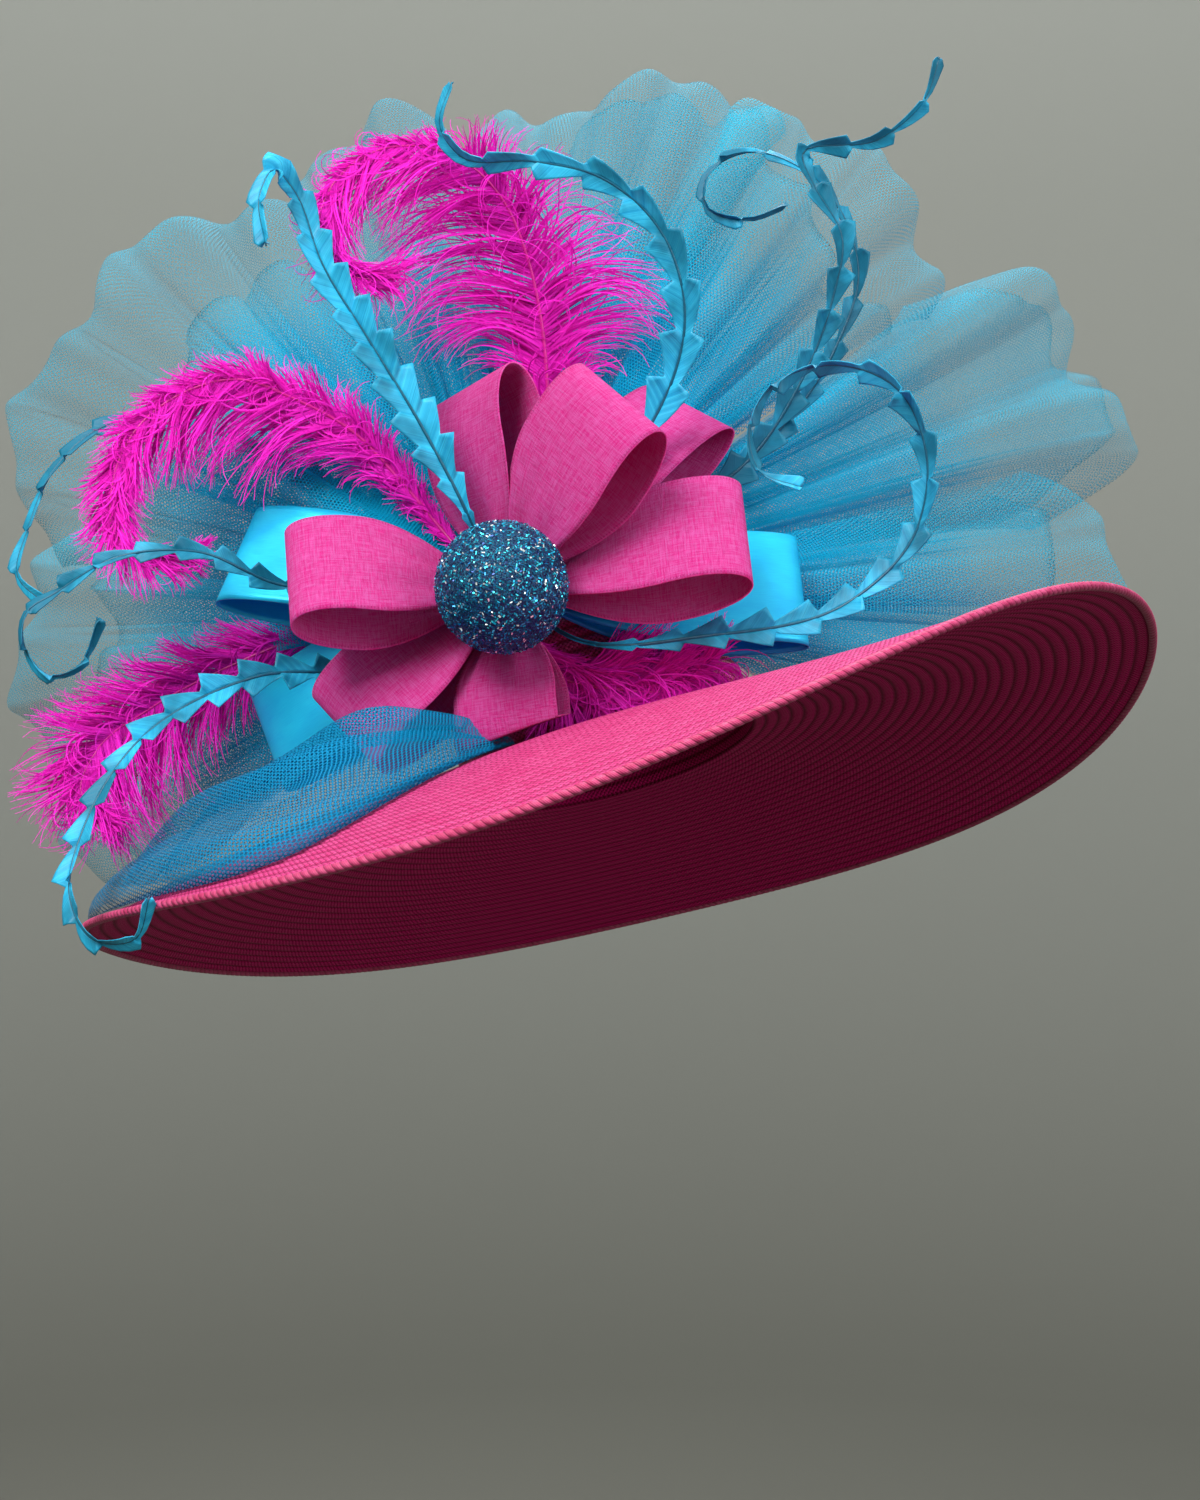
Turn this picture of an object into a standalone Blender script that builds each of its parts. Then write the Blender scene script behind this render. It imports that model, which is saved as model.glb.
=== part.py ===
"""A wide brimmed straw derby hat, trimmed with tulle, ostrich plumes, notched feathers, ribbon loops and a ball.

The hat stands in its own frame, in metres: +Z runs up the middle of the crown, -Y is the front, and the
origin is the middle of the head opening, level with the root of the brim, where a head carries it.
The trims are set out from a hub on the wearer's upright front. Their rows hold right, up and out, as
shares of the reach of the spray, and an empty with the tilt of the worn hat carries them.
"""

import math
from collections import namedtuple

import bpy
import numpy as np
from mathutils import Matrix, Vector

# Straw body
HEAD_WIDTH = 0.158
HEAD_LENGTH = 0.196
CROWN_HEIGHT = 0.112
CROWN_SQUARENESS = 2.6
STRAW = 0.002
RIM_WIDTH = 0.576
RIM_LENGTH = 0.616
BRIM_DROP = 0.042
BRIM_CURVE = 1.35
EDGE_WIDTH = 0.0050
EDGE_HEIGHT = 0.0044
RING_POINTS = 64
CROWN_POINTS = 40

# Wave of the rim: its height, and the bearing from +X of its first crest in degrees
TWO_FOLD_WAVE = 0.0190
TWO_FOLD_CREST = -19.5
THREE_FOLD_WAVE = 0.0090
THREE_FOLD_CREST = -37.5

# How the hat sits on the head, in degrees: left side down, front edge up
TILT_SIDE = 15.6
TILT_FRONT = 11.9

# Middle of the trims, from the origin in the wearer's upright axes
HUB_RIGHT = -0.0530
HUB_UP = 0.0825
HUB_OUT = 0.1200
POST_RADIUS = 0.0130
POST_SIDES = 24
BALL_DIAMETER = 0.0635
CLEARANCE = 0.0004
ROOT_GAP = 0.0009
SPRAY = 0.487

# Ribbons, feathers and net
LINEN_WIDTH = 0.063
LINEN_REACH = 0.100
LINEN_FULLNESS = 0.036
SATIN_WIDTH = 0.060
SATIN_REACH = 0.148
SATIN_FULLNESS = 0.026
RIBBON_PINCH = 0.011
RIBBON = 0.0010
LOOP_LIFT = 0.0060
VANE_WIDTH = 0.021
VANE = 0.0010
QUILL_WIDTH = 0.0022
PLUME_BARB = 0.065
PLUME = 0.0030
TULLE = 0.0010
TULLE_LAYER = 0.0035
FAN_FLARE = 7.0

Finish = namedtuple("Finish", "colour roughness metallic")
PINK_STRAW = Finish((0.80, 0.07, 0.27), 0.60, 0.0)
PINK_LINEN = Finish((0.86, 0.09, 0.30), 0.75, 0.0)
BLUE_SATIN = Finish((0.02, 0.42, 0.80), 0.30, 0.0)
TURQUOISE_NET = Finish((0.06, 0.48, 0.68), 0.70, 0.0)
TURQUOISE_FEATHER = Finish((0.02, 0.42, 0.62), 0.55, 0.0)
MAGENTA_PLUME = Finish((0.76, 0.01, 0.42), 0.80, 0.0)
TEAL_GLITTER = Finish((0.01, 0.22, 0.34), 0.25, 0.6)
PINK_BASE = Finish((0.60, 0.05, 0.25), 0.85, 0.0)


def clear_scene():
    """Start from an empty scene."""
    for item in list(bpy.data.objects):
        bpy.data.objects.remove(item, do_unlink=True)


def make_material(name, finish):
    """Make one plain surface finish."""
    material = bpy.data.materials.new(name)
    material.use_nodes = True
    shader = material.node_tree.nodes["Principled BSDF"]
    shader.inputs["Base Color"].default_value = (*finish.colour, 1.0)
    shader.inputs["Roughness"].default_value = finish.roughness
    shader.inputs["Metallic"].default_value = finish.metallic
    return material


def make_object(name, mesh, material, parent=None):
    """Link a mesh to the scene under its piece's name, smooth but for sharp edges."""
    piece = bpy.data.objects.new(name, mesh)
    mesh.materials.append(material)
    mesh.shade_smooth()
    mesh.set_sharp_from_angle(angle=math.radians(50))
    bpy.context.collection.objects.link(piece)
    piece.parent = parent
    return piece


def grid_faces(rows, columns, close_rows=False, close_columns=False):
    """List the quads of a grid of points that is stored row by row."""
    faces = []
    for row in range(rows if close_rows else rows - 1):
        for column in range(columns if close_columns else columns - 1):
            next_row = (row + 1) % rows
            next_column = (column + 1) % columns
            faces.append((row * columns + column, row * columns + next_column,
                          next_row * columns + next_column, next_row * columns + column))
    return faces


def mesh_from(name, points, faces):
    """Put points and faces into a mesh."""
    mesh = bpy.data.meshes.new(name)
    mesh.from_pydata(np.asarray(points).reshape(-1, 3).tolist(), [], faces)
    mesh.update()
    return mesh


def give_wall(piece, wall, offset=0.0):
    """Turn an open sheet into a closed wall: offset 0 keeps it in the middle, -1 lays the wall inside."""
    solid = piece.modifiers.new("wall", "SOLIDIFY")
    solid.thickness = wall
    solid.offset = offset
    solid.use_rim = True


# Brim and crown

def rim_height(turn):
    """Height of the rim at a turn from +X: a drop, a two-fold wave and a three-fold wave."""
    two_fold = TWO_FOLD_WAVE * np.cos(2 * (turn - math.radians(TWO_FOLD_CREST)))
    three_fold = THREE_FOLD_WAVE * np.cos(3 * (turn - math.radians(THREE_FOLD_CREST)))
    return two_fold, three_fold


def brim_point(turn, share):
    """Point of the brim's top at a turn from +X and a share of the way from its root to its rim."""
    half_width = HEAD_WIDTH / 2 + (RIM_WIDTH - HEAD_WIDTH) / 2 * share
    half_length = HEAD_LENGTH / 2 + (RIM_LENGTH - HEAD_LENGTH) / 2 * share
    two_fold, three_fold = rim_height(turn)
    height = -BRIM_DROP * share ** BRIM_CURVE + (two_fold + three_fold) * share ** 2
    return np.stack([half_width * np.cos(turn), half_length * np.sin(turn), height], axis=-1)


def brim_share(x, y):
    """Share of the way from the brim's root to its rim, and the turn, at a place seen from above."""
    low = np.zeros_like(x)
    high = np.full_like(x, 1.5)
    for _ in range(30):
        middle = (low + high) / 2
        half_width = HEAD_WIDTH / 2 + (RIM_WIDTH - HEAD_WIDTH) / 2 * middle
        half_length = HEAD_LENGTH / 2 + (RIM_LENGTH - HEAD_LENGTH) / 2 * middle
        outside = (x / half_width) ** 2 + (y / half_length) ** 2 > 1.0
        low = np.where(outside, middle, low)
        high = np.where(outside, high, middle)
    half_width = HEAD_WIDTH / 2 + (RIM_WIDTH - HEAD_WIDTH) / 2 * low
    half_length = HEAD_LENGTH / 2 + (RIM_LENGTH - HEAD_LENGTH) / 2 * low
    return low, np.arctan2(y / half_length, x / half_width)


def make_brim(material):
    """The brim is a closed ring of rows that droop and wave more towards the rim, with its wall below."""
    turns = np.linspace(0, 2 * math.pi, RING_POINTS, endpoint=False)
    rows = [brim_point(turns, share) for share in (0.0, 0.18, 0.38, 0.60, 0.82, 1.0)]
    points = np.stack(rows)
    mesh = mesh_from("brim", points, grid_faces(len(rows), RING_POINTS, close_columns=True))
    mesh.flip_normals()
    brim = make_object("brim", mesh, material)
    give_wall(brim, STRAW, -1.0)
    brim.modifiers["wall"].use_even_offset = True


def make_brim_edge(material):
    """The edge is an oval roll round the rim, a clearance outside the brim's wall."""
    turns = np.linspace(0, 2 * math.pi, RING_POINTS, endpoint=False)
    rim = brim_point(turns, np.ones_like(turns))
    outward = rim - brim_point(turns, np.full_like(turns, 0.97))
    outward /= np.linalg.norm(outward, axis=1, keepdims=True)
    along = np.roll(rim, -1, 0) - np.roll(rim, 1, 0)
    upward = np.cross(outward, along)
    upward /= np.linalg.norm(upward, axis=1, keepdims=True)
    centre = rim + outward * (EDGE_WIDTH / 2 + CLEARANCE) - upward * STRAW / 2
    rows = []
    for angle in np.linspace(0, 2 * math.pi, 6, endpoint=False) + math.pi / 6:
        rows.append(centre + outward * EDGE_WIDTH / 2 * math.cos(angle)
                    + upward * EDGE_HEIGHT / 2 * math.sin(angle))
    faces = grid_faces(len(rows), RING_POINTS, close_rows=True, close_columns=True)
    mesh = mesh_from("brim_edge", np.stack(rows), faces)
    make_object("brim_edge", mesh, material)


def crown_fullness(points, gap):
    """1 on the crown's outside when that is moved out by a gap, less inside it and more outside."""
    half_width = HEAD_WIDTH / 2 + STRAW + gap
    half_length = HEAD_LENGTH / 2 + STRAW + gap
    height = CROWN_HEIGHT + gap
    x, y, z = points[..., 0], points[..., 1], np.maximum(points[..., 2], 0.0)
    oval = np.sqrt((x / half_width) ** 2 + (y / half_length) ** 2)
    power = CROWN_SQUARENESS
    return (oval ** power + (z / height) ** power) ** (1 / power)


def crown_shell(gap):
    """Outside of the crown moved out by a gap: a dome whose upright section is a squared ellipse."""
    rise = np.array([0.0, 0.13, 0.27, 0.42, 0.57, 0.72, 0.87]) * math.pi / 2
    turns = np.linspace(0, 2 * math.pi, CROWN_POINTS, endpoint=False)
    power = 2 / CROWN_SQUARENESS
    across = np.cos(rise) ** power
    height = CLEARANCE + (CROWN_HEIGHT + gap - CLEARANCE) * np.sin(rise) ** power
    points = np.empty((len(rise), CROWN_POINTS, 3))
    points[..., 0] = (HEAD_WIDTH / 2 + STRAW + gap) * across[:, None] * np.cos(turns)
    points[..., 1] = (HEAD_LENGTH / 2 + STRAW + gap) * across[:, None] * np.sin(turns)
    points[..., 2] = height[:, None]
    faces = grid_faces(len(rise), CROWN_POINTS, close_columns=True)
    top = len(rise) * CROWN_POINTS
    last = top - CROWN_POINTS
    faces += [(last + column, last + (column + 1) % CROWN_POINTS, top) for column in range(CROWN_POINTS)]
    vertices = np.vstack([points.reshape(-1, 3), [[0.0, 0.0, CROWN_HEIGHT + gap]]])
    return vertices, faces


def make_crown(material):
    """The crown is a dome on the root of the brim, open below."""
    crown = make_object("crown", mesh_from("crown", *crown_shell(0.0)), material)
    give_wall(crown, STRAW, -1.0)


# Places of the trims

def worn_matrix():
    """Axes of the wearer's upright front in the hat's frame, with the hub as their origin."""
    crown_axis = Vector((-math.tan(math.radians(TILT_SIDE)), math.tan(math.radians(TILT_FRONT)), 1.0))
    crown_axis.normalize()
    right_axis = Vector((1.0, 0.0, math.tan(math.radians(TILT_SIDE)))).normalized()
    back_axis = crown_axis.cross(right_axis)
    turn = Matrix((right_axis, back_axis, crown_axis))
    hub = turn @ Vector((HUB_RIGHT, -HUB_OUT, HUB_UP))
    return Matrix.Translation(hub) @ turn.to_4x4()


def to_local(points):
    """Turn right, up and out into the axes of the empty: out is its -Y, and up is its +Z."""
    points = np.asarray(points, dtype=float)
    return np.stack([points[..., 0], -points[..., 2], points[..., 1]], axis=-1)


def clear_of_straw(points, matrix, gap):
    """Lift points off the brim's top and push them off the crown, so that a wall laid on them stays clear."""
    matrix = np.array(matrix)
    turn, hub = matrix[:3, :3], matrix[:3, 3]
    placed = points @ turn.T + hub
    share, bearing = brim_share(placed[..., 0], placed[..., 1])
    floor = brim_point(bearing, share)[..., 2] + gap
    over_brim = share < 1.0
    placed[..., 2] = np.where(over_brim, np.maximum(placed[..., 2], floor), placed[..., 2])
    fullness = crown_fullness(placed, gap)
    push = np.where(fullness < 1.0, 1.0 / np.maximum(fullness, 1e-6), 1.0)
    placed *= push[..., None]
    return (placed - hub) @ turn


def smooth_path(rows, places):
    """Points at shares of the length of a smooth curve through the rows.

    Each stretch between two rows is a cubic whose slopes at its ends come from the neighbours on both sides.
    """
    knots = np.asarray(rows, dtype=float)
    steps = np.linalg.norm(np.diff(knots, axis=0), axis=1)
    times = np.concatenate([[0.0], np.cumsum(steps)])
    slopes = np.gradient(knots, times, axis=0)
    dense = np.linspace(0.0, times[-1], 400)
    start = np.clip(np.searchsorted(times, dense, side="right") - 1, 0, len(steps) - 1)
    width = steps[start]
    part = (dense - times[start]) / width
    part, width = part[:, None], width[:, None]
    curve = ((2 * part ** 3 - 3 * part ** 2 + 1) * knots[start]
             + (part ** 3 - 2 * part ** 2 + part) * width * slopes[start]
             + (3 * part ** 2 - 2 * part ** 3) * knots[start + 1]
             + (part ** 3 - part ** 2) * width * slopes[start + 1])
    lengths = np.concatenate([[0.0], np.cumsum(np.linalg.norm(np.diff(curve, axis=0), axis=1))])
    lengths /= lengths[-1]
    return np.stack([np.interp(places, lengths, curve[:, axis]) for axis in range(3)], axis=-1)


def quill_rows(rows):
    """Rows of a quill in metres, with the first one brought to the side of the post."""
    quill = np.asarray(rows, dtype=float) * SPRAY
    quill[0, :2] *= (POST_RADIUS + ROOT_GAP) / np.hypot(quill[0, 0], quill[0, 1])
    return quill


def strip_sides(path, facing=(0.0, 0.0, 1.0)):
    """Unit vectors across a strip that shows its face to the front, and its radius of bend to the left."""
    along = np.gradient(path, axis=0)
    steps = np.linalg.norm(along, axis=1, keepdims=True)
    along /= steps
    across = np.cross(np.asarray(facing), along)
    across /= np.linalg.norm(across, axis=1, keepdims=True)
    bend = np.sum(np.gradient(along, axis=0) * across, axis=1) / steps[:, 0]
    return across, bend


def hold_inside_bend(half_width, bend):
    """Keep a strip's inner side short of the middle of the bend it lies in."""
    tightest = 0.75 / np.maximum(bend, 1e-6)
    return np.minimum(half_width, tightest)


# Ribbon loops

Loop = namedtuple("Loop", "bearing reach width full turn lean out")
LINEN_LOOPS = [
    # Degrees from right to up, shares of reach, width and fullness, then degrees, then a share of the spray
    Loop(98, 1.09, 1.00, 1.00, 50, -10, -0.036),
    Loop(58, 1.12, 1.00, 1.05, 35, 19, -0.010),
    Loop(46, 1.40, 0.92, 0.90, 35, -16, -0.045),
    Loop(13, 1.22, 1.00, 1.05, 38, 12, -0.010),
    Loop(177, 1.06, 1.00, 1.00, -42, 15, -0.010),
    Loop(222, 1.04, 1.00, 0.95, -36, 5, -0.022),
    Loop(274, 0.80, 0.82, 0.80, -16, 20, -0.016),
]
SATIN_LOOPS = [
    Loop(171, 1.00, 1.00, 1.00, -30, -16, -0.060),
    Loop(210, 1.03, 1.00, 1.00, -22, -18, -0.070),
    Loop(1, 1.02, 1.00, 1.00, 20, -10, -0.042),
]


def make_loop(name, loop, reach, width, fullness, material, parent, matrix):
    """A ribbon that leaves the post, swells into a drop-shaped loop and comes back under itself.

    Along the loop, the distance from the post is half of 1 minus the cosine, and the swell to either side is the
    sine times a power of that distance. The ribbon is pinched at the post and full at the end.
    """
    bearing, turn, lean = (math.radians(value) for value in (loop.bearing, loop.turn, loop.lean))
    away = np.array([math.cos(bearing) * math.cos(lean), math.sin(bearing) * math.cos(lean), math.sin(lean)])
    flat = np.array([math.sin(bearing), -math.cos(bearing), 0.0])
    front = np.cross(flat, away)
    across = flat * math.cos(turn) + front * math.sin(turn)
    swell = np.cross(across, away)
    phase = np.linspace(0.07, 0.93, 19) * 2 * math.pi
    far = (1 - np.cos(phase)) / 2
    first = far[0]
    far = np.clip((far - first) / (far.max() - first), 0.0, 1.0)
    length = loop.reach * reach - POST_RADIUS - ROOT_GAP
    thickness = np.sin(phase) * (0.05 + far ** 0.6) * loop.full * fullness / 2
    spread = RIBBON_PINCH + (loop.width * width - RIBBON_PINCH) * np.clip(far / 0.5, 0, 1)
    centre = np.array([math.cos(bearing), math.sin(bearing), 0.0]) * (POST_RADIUS + ROOT_GAP)
    centre = centre + np.array([0.0, 0.0, loop.out * SPRAY])
    path = centre + away * (far * length)[:, None] + swell * thickness[:, None]
    columns = [path + across * (spread * share)[:, None] for share in (-0.5, 0.0, 0.5)]
    points = to_local(np.stack(columns, axis=1))
    points = clear_of_straw(points, matrix, CLEARANCE + LOOP_LIFT)
    piece = make_object(name, mesh_from(name, points, grid_faces(len(path), 3)), material, parent)
    give_wall(piece, RIBBON)


# Feathers and plumes

Spray = namedtuple("Spray", "width teeth rows")
NOTCHED_FEATHERS = [
    Spray(1.10, 15, [(-0.018, 0.025, -0.050), (-0.034, 0.070, -0.012), (-0.080, 0.160, 0.010),
                     (-0.135, 0.250, 0.020), (-0.178, 0.320, 0.030), (-0.208, 0.395, 0.040),
                     (-0.222, 0.408, 0.055), (-0.235, 0.380, 0.065), (-0.228, 0.330, 0.070)]),
    Spray(1.00, 15, [(0.009, 0.028, -0.036), (0.070, 0.095, -0.036), (0.143, 0.165, -0.030),
                     (0.180, 0.290, 0.000), (0.155, 0.360, 0.010), (0.095, 0.410, 0.020),
                     (0.030, 0.424, 0.025), (-0.045, 0.430, 0.030), (-0.062, 0.455, 0.035),
                     (-0.050, 0.498, 0.040)]),
    Spray(0.85, 15, [(0.026, 0.014, -0.070), (0.120, 0.080, -0.100), (0.240, 0.135, -0.110),
                     (0.306, 0.228, -0.100), (0.338, 0.315, -0.090), (0.346, 0.372, -0.080),
                     (0.316, 0.426, -0.075), (0.304, 0.455, -0.075), (0.384, 0.472, -0.070),
                     (0.430, 0.512, -0.065), (0.444, 0.553, -0.060)]),
    Spray(0.50, 12, [(0.028, 0.008, -0.080), (0.125, 0.065, -0.125), (0.228, 0.128, -0.140),
                     (0.344, 0.266, -0.130), (0.368, 0.345, -0.125), (0.346, 0.412, -0.115),
                     (0.303, 0.452, -0.105), (0.249, 0.466, -0.100), (0.206, 0.438, -0.095),
                     (0.206, 0.406, -0.090), (0.249, 0.393, -0.085), (0.289, 0.410, -0.085)]),
    Spray(0.85, 18, [(0.024, -0.017, -0.055), (0.075, -0.048, -0.020), (0.195, -0.046, 0.020),
                     (0.345, -0.010, 0.030), (0.403, 0.050, 0.040), (0.415, 0.130, 0.050),
                     (0.382, 0.197, 0.058), (0.323, 0.216, 0.064), (0.264, 0.196, 0.070),
                     (0.240, 0.158, 0.076), (0.250, 0.110, 0.082), (0.290, 0.094, 0.086)]),
    Spray(0.95, 17, [(-0.024, -0.018, -0.042), (-0.135, -0.072, -0.084), (-0.255, -0.086, -0.010),
                     (-0.350, -0.144, 0.050), (-0.396, -0.228, 0.100), (-0.402, -0.296, 0.140),
                     (-0.370, -0.334, 0.176), (-0.328, -0.330, 0.196), (-0.314, -0.292, 0.208)]),
    Spray(0.55, 13, [(-0.029, 0.004, -0.036), (-0.130, 0.010, -0.056), (-0.230, 0.010, -0.040),
                     (-0.308, 0.040, 0.000), (-0.385, 0.032, 0.020), (-0.443, -0.002, 0.020),
                     (-0.473, -0.024, 0.025), (-0.472, -0.058, 0.030), (-0.443, -0.086, 0.035),
                     (-0.414, -0.073, 0.040), (-0.397, -0.028, 0.045)]),
    Spray(0.80, 12, [(-0.022, 0.020, -0.080), (-0.080, 0.060, -0.130), (-0.200, 0.130, -0.160),
                     (-0.340, 0.185, -0.150), (-0.424, 0.186, -0.130), (-0.474, 0.140, -0.110),
                     (-0.500, 0.074, -0.095), (-0.508, 0.020, -0.085), (-0.480, -0.006, -0.080)]),
]


def make_notched_feather(name, feather, material, parent, matrix):
    """A flat quill strip whose vane is cut into saw teeth that point to the tip, on both sides."""
    teeth = feather.teeth
    places = np.sort(np.concatenate([np.arange(teeth) / teeth, (np.arange(teeth) + 0.80) / teeth]))
    places = np.concatenate([places, [1.0]])
    path = smooth_path(quill_rows(feather.rows), places)
    across, bend = strip_sides(path)
    tooth = np.append(np.tile([0.0, 1.0], teeth), 0.0)
    full = np.clip((places - 0.10) / 0.20, 0.0, 1.0) * (1.0 - 0.75 * places ** 2)
    half = QUILL_WIDTH / 2 + feather.width * VANE_WIDTH / 2 * full * (0.42 + 0.58 * tooth)
    left = hold_inside_bend(half, bend)
    right = hold_inside_bend(half, -bend)
    points = to_local(np.stack([path + across * left[:, None], path - across * right[:, None]], axis=1))
    points = clear_of_straw(points, matrix, CLEARANCE + VANE)
    piece = make_object(name, mesh_from(name, points, grid_faces(len(path), 2)), material, parent)
    give_wall(piece, VANE)


Plume = namedtuple("Plume", "locks left right rows")
BARB_PLACES = (0.0, 0.20, 0.35, 0.50, 0.65, 0.80, 0.90, 1.0)
PLUMES = [
    # Shares of the barb's length to the left and right of the quill at the places above, then the quill's rows
    Plume(13, (0, .30, .90, .80, .50, .45, .38, .10), (0, .35, .95, .95, .25, .20, .18, .10),
          [(0.010, 0.026, -0.085), (0.018, 0.070, -0.108), (0.042, 0.165, -0.138),
           (0.040, 0.225, -0.130), (0.034, 0.292, -0.120), (0.018, 0.362, -0.105),
           (-0.002, 0.408, -0.090), (-0.030, 0.438, -0.070), (-0.069, 0.455, -0.050),
           (-0.126, 0.452, -0.035), (-0.173, 0.414, -0.020), (-0.187, 0.363, -0.010),
           (-0.162, 0.320, 0.000), (-0.120, 0.308, 0.010)]),
    Plume(14, (0, .30, .70, .65, .45, .35, .30, .12), (0, .30, .40, .28, .25, .30, .30, .12),
          [(-0.022, 0.018, -0.070), (-0.058, 0.058, -0.100), (-0.112, 0.122, -0.110),
           (-0.164, 0.176, -0.110), (-0.226, 0.210, -0.105), (-0.282, 0.228, -0.095),
           (-0.338, 0.212, -0.085), (-0.386, 0.168, -0.070), (-0.405, 0.115, -0.060),
           (-0.400, 0.062, -0.050), (-0.350, 0.036, -0.045), (-0.312, 0.044, -0.040)]),
    Plume(12, (0, .10, .30, .50, .65, .70, .50, .15), (0, .10, .35, .50, .58, .58, .42, .12),
          [(-0.025, -0.014, -0.085), (-0.062, -0.033, -0.110), (-0.150, -0.042, -0.180),
           (-0.232, -0.039, -0.205), (-0.318, -0.072, -0.200), (-0.390, -0.115, -0.170),
           (-0.435, -0.158, -0.125), (-0.448, -0.200, -0.105), (-0.420, -0.232, -0.090)]),
    Plume(7, (0, .15, .30, .36, .36, .30, .22, .08), (0, .15, .30, .36, .36, .30, .22, .08),
          [(0.006, -0.028, -0.045), (0.050, -0.082, -0.045), (0.110, -0.096, -0.040),
           (0.165, -0.098, -0.035), (0.195, -0.090, -0.035)]),
]


def make_plume(name, plume, material, parent, matrix):
    """A quill with its barbs fused into locks: both edges run out to each lock's point and back in between."""
    locks = plume.locks
    places = np.sort(np.concatenate([np.arange(locks) / locks, (np.arange(locks) + 0.60) / locks]))
    places = np.concatenate([places, [1.0]])
    path = smooth_path(quill_rows(plume.rows), places)
    across, bend = strip_sides(path)
    lock = np.append(np.tile([0.72, 1.0], locks), 0.72)
    left = QUILL_WIDTH / 2 + np.interp(places, BARB_PLACES, plume.left) * PLUME_BARB * lock
    right = QUILL_WIDTH / 2 + np.interp(places, BARB_PLACES, plume.right) * PLUME_BARB * lock
    left = hold_inside_bend(left, bend)
    right = hold_inside_bend(right, -bend)
    columns = [path + across * left[:, None], path, path - across * right[:, None]]
    points = to_local(np.stack(columns, axis=1))
    points = clear_of_straw(points, matrix, CLEARANCE + PLUME)
    piece = make_object(name, mesh_from(name, points, grid_faces(len(path), 3)), material, parent)
    give_wall(piece, PLUME)


# Tulle

Fan = namedtuple("Fan", "start end first middle last out sweep ruffle waves")
TULLE_FANS = [
    # Bearings in degrees, then shares of the spray: reach at the start, middle and end, root, and sweep back
    Fan(118, 171, 0.530, 0.600, 0.580, -0.092, 0.200, 0.016, 3.5),
    Fan(98, 117, 0.520, 0.565, 0.520, -0.100, 0.150, 0.010, 1.5),
    Fan(64, 97, 0.700, 0.600, 0.540, -0.098, 0.240, 0.016, 2.5),
    Fan(38, 63, 0.630, 0.630, 0.660, -0.100, 0.150, 0.012, 2.0),
    Fan(12.5, 35, 0.690, 0.710, 0.650, -0.092, 0.200, 0.014, 2.5),
    Fan(-6, 11.5, 0.640, 0.660, 0.680, -0.100, 0.150, 0.010, 1.5),
    Fan(172, 206, 0.580, 0.590, 0.570, -0.102, 0.290, 0.010, 2.0),
]


def make_tulle_fan(name, fan, gap, material, parent, matrix):
    """A net gathered on the post and spread into a fan, whose folds stand higher towards its outer edge."""
    share = np.linspace(0.0, 1.0, 9)
    out = np.array([0.0, 0.07, 0.15, 0.25, 0.42, 0.68, 1.0])
    bearing = np.radians((fan.start + fan.end) / 2
                         + (share - 0.5) * (fan.end - fan.start + FAN_FLARE * out[:, None]))
    reach = (fan.first * (1 - share) * (1 - 2 * share) + fan.middle * 4 * share * (1 - share)
             + fan.last * share * (2 * share - 1)) * SPRAY
    post = POST_RADIUS + ROOT_GAP
    radius = post + (reach - post) * out[:, None]
    fold = fan.ruffle * SPRAY * np.sin(2 * math.pi * fan.waves * share) * out[:, None]
    depth = fan.out * SPRAY - fan.sweep * SPRAY * out[:, None] ** 0.7 + fold
    points = np.stack([radius * np.cos(bearing), radius * np.sin(bearing), depth], axis=-1)
    points = clear_of_straw(to_local(points), matrix, gap)
    piece = make_object(name, mesh_from(name, points, grid_faces(len(out), len(share))), material, parent)
    give_wall(piece, TULLE)


Veil = namedtuple("Veil", "share start end height")
VEIL_ROWS = [
    # Share of the brim's width, then turns from +X in degrees where the veil starts and ends, and its height
    Veil(0.10, 224, 238, 0.0030),
    Veil(0.30, 219, 240, 0.0040),
    Veil(0.50, 212, 241, 0.0120),
    Veil(0.70, 204, 238, 0.0110),
    Veil(0.88, 197, 231, 0.0070),
    Veil(0.985, 194, 222, 0.0030),
]


def make_veil(name, material):
    """A net that lies in folds on the brim's front left, from the crown to the rim."""
    across = np.linspace(0.0, 1.0, 9)
    rows = []
    for veil in VEIL_ROWS:
        turns = np.radians(veil.start + (veil.end - veil.start) * across)
        row = brim_point(turns, np.full_like(turns, veil.share))
        row[:, 2] += CLEARANCE + TULLE + veil.height * (0.5 - 0.5 * np.cos(2 * math.pi * 2 * across))
        rows.append(row)
    piece = make_object(name, mesh_from(name, np.stack(rows), grid_faces(len(rows), len(across))), material)
    give_wall(piece, TULLE)


# Post and ball

def make_trim_base(material, parent):
    """The post runs back from the hub's plane into the crown's place, and is cut off a clearance before it."""
    bpy.ops.mesh.primitive_cylinder_add(vertices=POST_SIDES, radius=POST_RADIUS, depth=HUB_OUT)
    post = bpy.context.object
    post.name = "trim_base"
    post.data.transform(Matrix.Translation((0.0, HUB_OUT / 2, 0.0)) @ Matrix.Rotation(math.pi / 2, 4, "X"))
    post.data.materials.append(material)
    post.parent = parent

    vertices, faces = crown_shell(CLEARANCE)
    faces.append(tuple(reversed(range(CROWN_POINTS))))
    cutter = bpy.data.objects.new("crown_cutter", mesh_from("crown_cutter", vertices, faces))
    bpy.context.collection.objects.link(cutter)
    cutter.hide_render = True
    cutter.display_type = "WIRE"
    cut = post.modifiers.new("seat", "BOOLEAN")
    cut.operation = "DIFFERENCE"
    cut.object = cutter


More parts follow.
